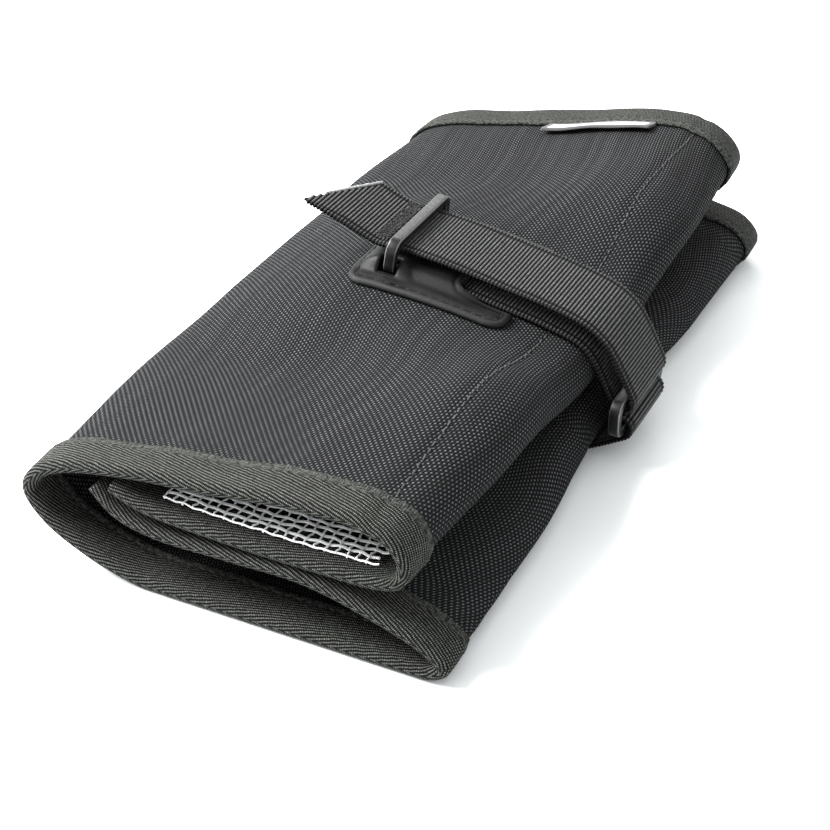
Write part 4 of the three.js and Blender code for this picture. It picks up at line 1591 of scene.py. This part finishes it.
@dataclass
class Webbing:
    """A band of ribbed webbing along a line in the plane across the roll."""

    name: str
    node: str
    width: float = 25.0
    thickness: float = 1.6
    slant: float = 0.0
    rib_pitch: float = 1.0
    sample: float = 0.3
    rib_cover: float = 1.12
    core_share: float = 0.5
    core_inset: float = 0.35
    selvedge: float = 1.9

    def __post_init__(self) -> None:
        """Reads the line and spaces it evenly."""
        rough = drawn_centre_line(self.node, self.width / 2)
        count = len(rough)
        place = np.linspace(0, count - 1, count * 24)
        fine = bent_line(rough[None], np.zeros(len(place), int), place)
        run = travelled(fine)
        self.length = float(run[-1])
        self.run = np.linspace(0, self.length, int(self.length / self.sample))
        self.line = picked(self.run, run, fine)
        steps = unit(np.gradient(self.line, axis=0))
        window = np.hanning(7)[1:-1]
        window /= window.sum()
        padded = np.pad(steps, ((2, 2), (0, 0)), mode="edge")
        smoothed = [np.convolve(padded[:, k], window, mode="valid") for k in range(2)]
        self.tangent = unit(np.stack(smoothed, axis=1))

    def at(self, run: Array) -> tuple[Array, Array, Array]:
        """Returns points, tangents and face normals, as x, y and z, at lengths from the first end.

        Args:
            run: Lengths from the first end.

        Returns:
            The three, one row for each length.
        """
        along = unit(picked(run, self.run, self.tangent))
        face = np.stack([-along[:, 1], along[:, 0]], axis=1)
        return upright(picked(run, self.run, self.line)), upright(along), upright(face)

    def far_edge(self, run: Array) -> Array:
        """Returns y of the band's far edge, which the slanted cut draws in near the tip.

        Args:
            run: Lengths from the first end.

        Returns:
            The edge at each length.
        """
        half = self.width / 2
        if self.slant <= 0:
            return np.full(len(run), half)
        return np.minimum(half, -half + self.width * run / self.slant)

    def build_core(self, material: Material) -> Piece:
        """Builds the flat core that fills the grooves between the ribs.

        Args:
            material: Its finish.

        Returns:
            The finished piece.
        """
        runs = np.linspace(0.15, self.length - 0.15, int(self.length / 0.6))
        point, _, face = self.at(runs)
        half = self.width / 2 - self.core_inset
        far = np.clip(self.far_edge(runs) - self.core_inset, -half + HAIR, half)[:, None] * SIDEWAYS
        near = -half * SIDEWAYS
        rise = self.thickness * self.core_share / 2 * face
        rings = np.stack(
            [point + near - rise, point + far - rise, point + far + rise, point + near + rise], axis=1)
        points = rings.reshape(-1, 3)
        faces = loft_faces(len(runs), 4, [(0, 1, 2, 3)])
        # The core's low crest value paints it in the webbing's painted groove shade.
        piece = make_piece(f"{self.name}_core", points, faces, values={"crest": np.full(len(points), 0.3)})
        return finish_piece(piece, material)

    def build(self, material: Material) -> Piece:
        """Lays the ribs, which replace the CAD band, and the core.

        Args:
            material: Its finish.

        Returns:
            The finished piece.
        """
        runs = np.arange(self.rib_pitch / 2, self.length - self.rib_pitch / 3, self.rib_pitch)
        half = self.width / 2
        far = self.far_edge(runs)
        span = (far + half) / self.width
        keep = span > 0.06
        runs, far, span = runs[keep], far[keep], span[keep]
        point, heading, face = self.at(runs)
        point[:, 1] = (far - half) / 2
        size = np.stack([np.ones(len(runs)), span, np.ones(len(runs))], axis=1)
        piece = oriented_points(self.name, point, heading, face, size)
        grown(piece, "webbing_ribs", material, Width=self.width, Rib_Length=self.rib_pitch * self.rib_cover,
              Rib_Height=self.thickness, Selvedge=self.selvedge)
        self.build_core(material)
        return finish_piece(piece, material, [self.node])

    def build_cut_edge(self, material: Material) -> Piece:
        """Builds the pale fused threads along the slanted cut.

        Args:
            material: Its finish.

        Returns:
            The finished piece.
        """
        half = self.width / 2
        y = np.linspace(-half + 0.3 * self.width, half - 0.3, 90)
        point, along, face = self.at((y + half) / self.width * self.slant)
        point[:, 1] = y
        ragged = 0.12 * np.random.default_rng(SEED).standard_normal((len(y), 2))
        high = 0.5 * self.thickness
        section = (
            (0.15 - high, 0.15), (0.3 - high, 0.62 + ragged[:, :1]), (high - 0.25, 0.66 + ragged[:, 1:]),
            (high + 0.08, 0.2), (high - 0.2, -0.35), (0.3 - high, -0.35))
        rings = np.stack([point + face * rise - along * outward for rise, outward in section], axis=1)
        faces = loft_faces(len(y), len(section), [tuple(range(len(section)))])
        piece = make_piece(f"{self.name}_cut_edge", rings.reshape(-1, 3), faces)
        return finish_piece(piece, material)

    def build_bar_tack(self, thread: Material, start: float, reach: float) -> Piece:
        """Sews the dense band of zigzag stitches across the strap.

        Args:
            thread: Its thread.
            start: Its distance from the tip.
            reach: Its length along the strap.

        Returns:
            The finished piece.
        """
        rng = np.random.default_rng(SEED + 1)
        half = self.width / 2 - 0.9
        y = np.repeat(np.arange(-0.8 * half, half, 0.36), 4)
        count = len(y)
        run = start + reach * (np.tile([0.1, 0.37, 0.63, 0.9], count // 4) + rng.uniform(-0.16, 0.16, count))
        point, heading, face = self.at(run)
        point[:, 1] = y + rng.uniform(-0.25, 0.25, count)
        point += face * (self.thickness / 2 - 0.1 + rng.uniform(0, 0.14, count)[:, None])
        heading = unit(heading + rng.uniform(-1.6, 1.6, count)[:, None] * SIDEWAYS)
        return sew(
            f"{self.name}_bar_tack", point, heading, face, thread, "webbing", 1.3, 0.34, StitchShape.SUNK)


# Wire rings


@dataclass
class WireRing:
    """A rectangular ring bent from flat wire, standing on one of its long bars."""

    name: str
    node: str
    height: float = 10.4
    lean: float = 0.0
    half_inside: float = 14.3
    wire_width: float = 3.0
    wire_thickness: float = 2.4
    corner: float = 3.6
    bevel: float = 0.5
    corner_steps: int = 12
    bevel_steps: int = 4

    def build(self, material: Material) -> Piece:
        """Sweeps the bevelled section round the outline and stands it where the CAD ring is.

        Args:
            material: Its finish.

        Returns:
            The finished piece.
        """
        low, high = (np.array(corner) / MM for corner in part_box(self.node))
        outer, half, thick = self.half_inside + self.wire_thickness, self.wire_width / 2, self.wire_thickness
        corners = rounded_box((-outer, 0), (outer, self.height), self.corner, self.corner_steps)
        outline = np.concatenate(corners)
        outward = np.concatenate([arc((0, 0), 1, 2 + i, 3 + i, self.corner_steps) for i in range(4)])
        section = np.concatenate(rounded_box((-half, 0), (half, thick), self.bevel, self.bevel_steps))
        bevelled = np.tile(np.sin(math.pi * np.linspace(0, 1, self.bevel_steps + 1)), 4)
        rings, count = len(outline), len(section)
        x, depth = np.tile(section, (rings, 1)).T
        yz = np.repeat(outline, count, axis=0) - np.repeat(outward, count, axis=0) * depth[:, None]
        tilt = math.radians(self.lean)
        up = yz[:, 1] - self.height / 2
        along = x * math.cos(tilt) + up * math.sin(tilt)
        rise = up * math.cos(tilt) - x * math.sin(tilt)
        points = (low + high) / 2 + np.stack([along, yz[:, 0], rise], axis=1)
        faces = loft_faces(rings, count)
        piece = make_piece(self.name, points, faces, values={"corner": np.tile(bevelled, rings)})
        return finish_piece(piece, material, [self.node])


# Net pocket


@dataclass
class NetPocket:
    """Open net on the upper flap's inner face, with loose ends on its right."""

    sheet: FoldedSheet
    length: float = 84.0
    right_share: float = 0.82
    setback: float = 4.1
    left_margin: float = 1.0
    half_thickness: float = 0.5
    row_pitch: float = 2.25
    strand_gap: float = 0.3
    column_pitch: float = 2.6
    slant: float = 0.16
    thread: float = 0.5
    sample: float = 0.66
    fray: float = 3.2
    weave_rise: float = 0.16

    def build(self, material: Material) -> Piece:
        """Draws the threads on the flap and thickens them in that yarn.

        Args:
            material: Its finish.

        Returns:
            The finished piece.
        """
        sheet = self.sheet
        near = -sheet.half_length + self.setback
        start_param = sheet.param_at_length(np.array([sheet.tape_width]), near)
        left = float(sheet.middle(start_param, np.array([near]))[0, 0]) + self.left_margin
        right = sheet.across(self.right_share)
        rng = np.random.default_rng(SEED)
        points: list[Array] = []
        edges: list[tuple[int, int]] = []

        def draw(x: Array, y: Array, rise: Array) -> None:
            """Adds one thread through points over the flap.

            Args:
                x: Places across the roll.
                y: Places along the roll.
                rise: Height above the net.
            """
            param = sheet.param_at_x(x, y, "upper flap end", "upper fold lower quarter")
            base = sum(len(p) for p in points)
            height = sheet.tape_outside + sheet.seam_gap + self.half_thickness + rise
            points.append(sheet.point(param, y, height))
            edges.extend((base + i, base + i + 1) for i in range(len(x) - 1))

        for row in range(int(self.length / self.row_pitch) + 1):
            x = np.arange(left, right + rng.uniform(-0.6, self.fray), self.sample)
            phase = rng.uniform(0, math.tau)
            y = near + row * self.row_pitch + 0.3 * np.sin(x * 0.3 + phase) + 0.08 * np.sin(x * 1.3 + phase)
            loose = ease((x - right + 1.0) / 3.0)
            y = y + loose * rng.uniform(-1.2, 1.2)
            rise = self.weave_rise * np.cos(math.pi * (x - left) / self.column_pitch + math.pi * row)
            rise = rise + loose * rng.uniform(0, 0.9)
            for strand in (0.0, self.strand_gap)[:1 + (row > 0)]:
                draw(x, np.maximum(y, near + 0.1) + strand, rise)
        columns = int((right - left) / self.column_pitch) + int(self.slant * self.length / self.column_pitch)
        for column in range(-2, columns + 1):
            y = np.arange(near, near + self.length, self.sample)
            x = left + column * self.column_pitch + self.slant * (near + self.length - y) * 0.4
            x = x + 0.22 * np.sin(y * 0.9 + column) + 0.14 * np.sin(y * 2.56)
            held = (x > left) & (x < right)
            rise = -self.weave_rise * np.cos(math.pi * (y - near) / self.row_pitch + math.pi * column)
            if held.sum() > 4:
                draw(x[held], y[held], rise[held])
        mesh = bpy.data.meshes.new("net_threads")
        mesh.from_pydata((np.concatenate(points) * MM).tolist(), edges, [])
        piece = linked("net_threads", mesh)
        grown(piece, "net_threads", material, Thickness=self.thread, Waver=0.07, Seed=SEED / MM)
        finish_piece(piece, material, ["net_pocket"])
        return piece


# Leather patch


def outline_distance(points: Array, loops: Sequence[Array]) -> Array:
    """Returns each point's distance to the nearest of several closed outlines.

    Args:
        points: The points.
        loops: The outlines.

    Returns:
        The distances.
    """
    best = np.full(len(points), np.inf)
    for loop in loops:
        for a, b in zip(loop, np.roll(loop, -1, axis=0)):
            side = b - a
            share = np.clip(((points - a) @ side) / max(side @ side, 1e-12), 0, 1)
            best = np.minimum(best, np.linalg.norm(points - a - share[:, None] * side, axis=1))
    return best


def inside_outline(points: Array, loop: Array) -> Array:
    """Returns which points lie inside a closed outline.

    Args:
        points: The points.
        loop: The outline.

    Returns:
        True for each point inside.
    """
    inside = np.zeros(len(points), bool)
    for a, b in zip(loop, np.roll(loop, -1, axis=0)):
        crosses = (a[1] > points[:, 1]) != (b[1] > points[:, 1])
        if a[1] != b[1]:
            x = a[0] + (points[:, 1] - a[1]) / (b[1] - a[1]) * (b[0] - a[0])
            inside ^= crosses & (points[:, 0] < x)
    return inside


def inside_region(points: Array, loops: Sequence[Array]) -> Array:
    """Returns which points lie inside the first outline and outside the holes that follow it.

    Args:
        points: The points.
        loops: The outline and its holes.

    Returns:
        True for each point inside.
    """
    inside = inside_outline(points, loops[0])
    for hole in loops[1:]:
        inside &= ~inside_outline(points, hole)
    return inside


@dataclass
class LeatherPatch:
    """Leather patch over the keeper's foot and the strap's end, notched and slotted."""

    sheet: FoldedSheet
    left_share: float = 0.347
    ring_share: float = 0.4345
    length: float = 43.5
    width: float = 44.0
    thickness: float = 1.6
    corner: float = 4.5
    notch_depth: float = 15.5
    notch_corner: float = 2.2
    notch_clearance: float = 0.5
    dome_slope: float = 8.0
    ring_slope: float = 5.0
    wire_width: float = 3.0
    wire_thickness: float = 2.4
    ring_half_outside: float = 16.7
    ring_corner: float = 3.6
    keeper_lean: float = 9.0
    slot_play: float = 1.1
    grid: float = 0.62
    boundary_step: float = 0.45
    rim: float = 1.2
    crease: float = 2.1
    crease_depth: float = 0.3
    crease_reach: float = 0.38
    bevel: float = 0.55
    pillow: float = 0.06
    skin: float = 0.15

    def __post_init__(self) -> None:
        """Places the patch, its notch and the ring across the roll."""
        self.left = self.sheet.across(self.left_share)
        self.right = self.left + self.length
        self.notch_left = self.right - self.notch_depth
        self.ring_x = self.sheet.across(self.ring_share)
        self.notch_half = self.sheet.strap_width / 2 + self.notch_clearance

    def underside(self, x: Array, y: Array) -> Array:
        """Returns the underside's height above the canvas, over the ring's foot and the strap's end.

        Args:
            x: Places across the roll.
            y: Places along the roll.

        Returns:
            The height at each point.
        """
        gap = self.sheet.seam_gap
        tip = self.wire_width * math.sin(math.radians(self.keeper_lean))
        crest = self.wire_thickness + tip + gap
        low_crest = self.sheet.strap_thickness + gap
        from_left = ease((x - (self.ring_x - self.wire_width - self.dome_slope)) / self.dome_slope)
        from_right = ease((self.notch_left + self.dome_slope - x) / self.dome_slope)
        flat_from = self.ring_half_outside + self.slot_play
        from_side = ease((flat_from - np.abs(y)) / (flat_from - self.ring_half_outside + self.wire_thickness))
        past_ring = ease((self.ring_x + self.wire_width + self.ring_slope - x) / self.ring_slope)
        strap_half = self.sheet.plateau - gap
        past_strap = ease((self.ring_half_outside - np.abs(y)) / (self.ring_half_outside - strap_half))
        over_ring = crest * from_left * past_ring * from_side
        over_strap = low_crest * from_left * from_right * past_strap
        return gap + np.maximum(over_ring, over_strap)

    def rim_corners(self, inset: float, steps: int) -> list[Array]:
        """Returns the four corners of the patch's outline, or of a line inside it."""
        low, high = (self.left + inset, inset - self.width / 2), (self.right - inset, self.width / 2 - inset)
        return rounded_box(low, high, self.corner - inset, steps)

    def outline(self) -> Array:
        """Returns the patch's outline with its notch.

        Returns:
            The points in order.
        """
        right, notch, gap, n = self.right, self.notch_left, self.notch_half, self.notch_corner
        lower_left, lower_right, upper_right, upper_left = self.rim_corners(0.0, 8)
        return np.concatenate([
            lower_left, lower_right, [(right, -gap)], arc((notch + n, -gap + n), n, 3, 2, 8),
            arc((notch + n, gap - n), n, 2, 1, 8), [(right, gap)], upper_right, upper_left])

    def slots(self) -> list[Array]:
        """Returns the outlines of the two slots for the ring's legs.

        Returns:
            The outline of each slot.
        """
        half = self.wire_width / 2 + self.slot_play
        gap = self.sheet.seam_gap
        inside = self.ring_half_outside - self.ring_corner - gap
        outside = self.ring_half_outside + gap
        return [
            np.concatenate(rounded_box((self.ring_x - half, low), (self.ring_x + half, high), gap, 3))
            for low, high in ((-outside, -inside), (inside, outside))]

    def spaced(self, loop: Array) -> Array:
        """Returns an outline with points no further apart than the boundary step.

        Args:
            loop: The outline.

        Returns:
            The points in order.
        """
        points = []
        for a, b in zip(loop, np.roll(loop, -1, axis=0)):
            count = max(1, int(math.dist(a, b) / self.boundary_step))
            points.extend(a + (b - a) * i / count for i in range(count))
        return np.array(points)

    def build(self, material: Material) -> Piece:
        """Builds the patch with its bevelled rim and its crease in that leather.

        Args:
            material: Its finish.

        Returns:
            The finished piece.
        """
        loops = [self.spaced(loop) for loop in (self.outline(), *self.slots())]
        half = self.width / 2
        gx, gy = np.meshgrid(np.arange(self.left, self.right, self.grid), np.arange(-half, half, self.grid))
        cloud = np.stack([gx.ravel(), gy.ravel()], axis=1)
        held = inside_region(cloud, loops) & (outline_distance(cloud, loops) > self.boundary_step)
        edges, base = [], 0
        for loop in loops:
            edges.extend((base + i, base + (i + 1) % len(loop)) for i in range(len(loop)))
            base += len(loop)
        flat = np.concatenate([*loops, cloud[held]])
        found, _, triangles, *_ = delaunay_2d_cdt([Vector(p) for p in flat], edges, [], 0, 1e-5)
        flat = np.array([tuple(p) for p in found])
        triangles = np.array(triangles)
        triangles = triangles[inside_region(flat[triangles].mean(axis=1), loops)]
        rim = outline_distance(flat, loops[:1])
        x, y = flat[:, 0], flat[:, 1]
        low = self.underside(x, y)
        worn = 0.6 * (1 - ease(rim / self.bevel)) ** 1.5
        groove = self.crease_depth * np.exp(-((rim - self.crease) / self.crease_reach) ** 2)
        pillow = self.pillow * ease((rim - self.crease) / 3.0)
        top = low + self.thickness - self.skin - worn - groove + pillow
        points = np.concatenate([self.sheet.on_top(x, y, top), self.sheet.on_top(x, y, low + HAIR)])
        count = len(flat)
        faces = [tuple(t) for t in triangles] + [tuple(count + t[::-1]) for t in triangles]
        sides = {pair: None for a, b, c in triangles for pair in ((a, b), (b, c), (c, a))}
        faces.extend((b, a, count + a, count + b) for a, b in sides if (b, a) not in sides)
        piece = make_piece(
            "patch_leather", points, faces, np.concatenate([flat, flat]),
            {"rim_distance": np.concatenate([rim, rim * 0])})
        return finish_piece(piece, material, ["leather_patch"])

    def stitches(self, pitch: float) -> tuple[Array, Array, Array]:
        """Returns places, headings and facings of the stitches in the crease, which stops at the notch.

        Args:
            pitch: Distance from stitch to stitch.

        Returns:
            The three, one row for each stitch.
        """
        right, stop = self.right - self.crease, self.notch_half + 1.2
        lower_left, lower_right, upper_right, upper_left = (c[::-1] for c in self.rim_corners(self.crease, 6))
        loop = np.concatenate([
            [(right, -stop)], lower_right, lower_left, upper_left, upper_right, [(right, stop)]])
        run = travelled(loop)
        at = np.arange(pitch / 2, run[-1], pitch)
        place, ahead, behind = (picked(at + step, run, loop) for step in (0.0, 0.2, -0.2))
        height = self.underside(place[:, 0], place[:, 1]) + self.thickness - self.skin - self.crease_depth
        points, above, fore, aft = (
            self.sheet.on_top(spot[:, 0], spot[:, 1], height + more)
            for spot, more in ((place, 0), (place, 1), (ahead, 0), (behind, 0)))
        return points, unit(fore - aft), unit(above - points)


# Label and seam


@dataclass
class ClothLabel:
    """A folded label that butts against the far tape, its near edge a little lifted."""

    sheet: FoldedSheet
    left_share: float = 0.414
    width: float = 34.0
    length: float = 7.0
    thickness: float = 1.0
    lift: float = 1.2
    tuck: float = 0.4
    nose: float = 0.12
    columns: int = 60
    rows: int = 18

    def build(self, material: Material) -> Piece:
        """Builds the label as a thin folded pad in that finish.

        Args:
            material: Its finish.

        Returns:
            The finished piece.
        """
        sheet = self.sheet
        back = sheet.half_length - sheet.tape_width - sheet.seam_gap + self.tuck
        left = sheet.across(self.left_share)
        x = np.linspace(left, left + self.width, self.columns)
        rows = []
        for y in np.linspace(back - self.length, back, self.rows):
            share = (back - y) / self.length
            near = ease((1 - share) / self.nose)
            low = sheet.seam_gap * 0.6 + self.lift * ease(share) + 0.18 * share * np.sin(x * 0.35)
            high = low + self.thickness * (0.35 + 0.5 * near)
            low = low + self.thickness * 0.25 * (1 - near)
            pattern = np.stack([x - left, np.full(len(x), y - (back - self.length))], axis=1)
            rows.append((sheet.on_top(x, y, high), sheet.on_top(x, y, low), pattern))
        return finish_piece(double_sheet("label_cloth", rows), material, ["label"])


@dataclass
class TopSeam:
    """The sewn line along the top panel beside the upper fold."""

    sheet: FoldedSheet
    pitch: float = 2.6
    length: float = 1.55
    height: float = 0.02
    margin: float = 0.4

    def build(self, thread: Material) -> Piece:
        """Sews the seam from the near tape to the far one.

        Args:
            thread: Its thread.

        Returns:
            The finished piece.
        """
        sheet = self.sheet
        reach = sheet.half_length - sheet.tape_width - self.margin
        y = np.arange(-reach, reach, self.pitch)
        x = np.full(len(y), sheet.seam_x) + 0.08 * np.sin(y * 0.9)
        places, above = (sheet.on_top(x, y, height) for height in (self.height, 1.0))
        ahead, behind = (
            sheet.on_top(x, np.clip(y + step, -reach, reach), self.height) for step in (0.5, -0.5))
        return sew("seam_stitches", places, unit(ahead - behind), unit(above - places), thread, "canvas",
                   self.length, 0.5, StitchShape.PROUD)


# Studio


@dataclass
class Studio:
    """Pale floor, soft light from the upper left and the camera."""

    target: tuple[float, float, float]
    azimuth: float = 26.012
    elevation: float = 33.2
    distance: float = 453.71
    focal_pixels: float = 1826.15
    picture_pixels: float = 830.0
    sensor: float = 36.0
    floor_side: float = 6.0
    floor_colour: Colour = (0.685, 0.7, 0.695, 1.0)
    sky_colour: Colour = (0.97, 0.985, 1.0, 1.0)
    sky_strength: float = 1.6
    light_size: float = 0.6

    def __post_init__(self) -> None:
        """Works out the directions from the roll to the camera and to the camera's right."""
        az, el = math.radians(self.azimuth), math.radians(self.elevation)
        self.back = Vector((math.sin(az) * math.cos(el), -math.cos(az) * math.cos(el), math.sin(el)))
        self.right = Vector((math.cos(az), math.sin(az), 0.0))

    def build_camera(self) -> None:
        """Stands the camera where the photograph was taken from."""
        camera = bpy.data.cameras.new("camera")
        camera.sensor_fit = "HORIZONTAL"
        camera.sensor_width = self.sensor
        camera.lens = self.focal_pixels / self.picture_pixels * self.sensor
        camera.clip_start = 0.01
        stand = linked("camera", camera)
        stand.location = (Vector(self.target) + self.back * self.distance) * MM
        stand.rotation_euler = self.back.to_track_quat("Z", "Y").to_euler()
        bpy.context.scene.camera = stand

    def build_light(self, name: str, place: tuple[float, float, float], power: float) -> None:
        """Hangs a square soft light that faces the roll.

        Args:
            name: Name of the light.
            place: Metres to the camera's right, up and towards it.
            power: Watts.
        """
        level = Vector((self.back.x, self.back.y, 0.0)).normalized()
        light = bpy.data.lights.new(name, "AREA")
        light.shape = "SQUARE"
        light.size = self.light_size
        light.energy = power
        lamp = linked(name, light)
        lamp.location = self.right * place[0] + Vector((0, 0, place[1])) + level * place[2]
        lamp.rotation_euler = lamp.location.to_track_quat("Z", "Y").to_euler()

    def build_floor(self) -> None:
        """Lays the pale floor."""
        half = self.floor_side / 2
        mesh = bpy.data.meshes.new("floor")
        corners = [(-half, -half, 0), (half, -half, 0), (half, half, 0), (-half, half, 0)]
        mesh.from_pydata(corners, [], [(0, 1, 2, 3)])
        bench = Bench("pale_floor", Roughness=0.7, Specular_IOR_Level=0.1, Base_Color=self.floor_colour)
        mesh.materials.append(bench.material)
        floor = linked("floor", mesh)

    def build(self) -> None:
        """Builds the whole studio."""
        self.build_camera()
        self.build_floor()
        world = bpy.data.worlds.new("studio")
        bpy.context.scene.world = world
        world.use_nodes = True
        sky = world.node_tree.nodes["Background"]
        sky.inputs["Color"].default_value = self.sky_colour
        sky.inputs["Strength"].default_value = self.sky_strength
        self.build_light("window_left", (-0.8, 0.8, -0.1), 70.0)
        self.build_light("window_back", (0.1, 0.8, -1.1), 10.0)
        bpy.context.scene.view_settings.view_transform = "Standard"


@dataclass
class ToolRoll:
    """The whole roll: its cloth, its webbing, its fittings and its sewing."""

    sheet: FoldedSheet
    tail_slant: float = 11.5
    tack_from_tip: float = 21.3
    tack_reach: float = 3.6

    def build_cloth(self) -> None:
        """Builds the canvas and its four tapes with their stitches."""
        CanvasSheet(self.sheet).build(CanvasFinish().material())
        tapes = {
            "near": LongTape(self.sheet, end=-1), "far": LongTape(self.sheet, end=1),
            "upper_flap": FlapTape(self.sheet), "lower_flap": FlapTape(self.sheet, lower=True)}
        finish = TapeFinish(tapes["near"].outer_length() / 2).material()
        for name, tape in tapes.items():
            tape.build(f"{name}_tape", f"{name}_binding", finish)
        thread = ThreadFinish("hem_thread", grey(0.008), grey(0.05), 0.6).material()
        for name, tape in tapes.items():
            sew(f"{name}_hem_stitches", *tape.stitches(), thread, "tape", tape.stitch_length, 0.45,
                StitchShape.SUNK)

    def build_webbing(self) -> None:
        """Builds the strap and the tab that holds the cinch ring."""
        finish = WebbingFinish().material()
        strap = Webbing("strap_webbing", "strap", slant=self.tail_slant)
        strap.build(finish)
        strap.build_cut_edge(ThreadFinish("cut_threads", grey(0.08), grey(0.35), 0.5, 0.2).material())
        tack = ThreadFinish("tack_thread", grey(0.002), grey(0.02), 0.7, 0.3).material()
        strap.build_bar_tack(tack, self.tack_from_tip, self.tack_reach)
        Webbing("tab_webbing", "strap_tab").build(finish)

    def build_fittings(self) -> None:
        """Builds the two rings, the patch, the net, the label and the seam."""
        wire = WireFinish().material()
        patch = LeatherPatch(self.sheet)
        WireRing("keeper_wire", "keeper_ring", lean=patch.keeper_lean).build(wire)
        WireRing("cinch_wire", "cinch_ring").build(wire)
        patch.build(LeatherFinish(patch.rim, patch.crease).material())
        dark = ThreadFinish("patch_thread", grey(0.002), grey(0.012), 0.7).material()
        sew("patch_stitches", *patch.stitches(3.0), dark, "leather", 2.0, 0.5, StitchShape.SUNK)
        NetPocket(self.sheet).build(ThreadFinish("net_yarn", grey(0.72), grey(0.95), 0.5, 0.3).material())
        label = ClothLabel(self.sheet)
        label.build(LabelFinish(label.width, label.length).material())
        TopSeam(self.sheet).build(ThreadFinish("seam_thread", grey(0.006), grey(0.065), 0.55).material())

    def build(self) -> None:
        """Builds every part of the roll."""
        self.build_cloth()
        self.build_webbing()
        self.build_fittings()


def main() -> None:
    """Builds the roll and the studio."""
    logging.basicConfig(level=logging.INFO, format="%(name)s %(message)s")
    patch_left = FoldedSheet(0.0).across(LeatherPatch.left_share)
    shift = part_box("leather_patch")[0].x / MM - patch_left
    Studio(target=(13.723 + shift, -42.683, 20.0)).build()
    ToolRoll(FoldedSheet(shift)).build()


if __name__ == "__main__":
    main()
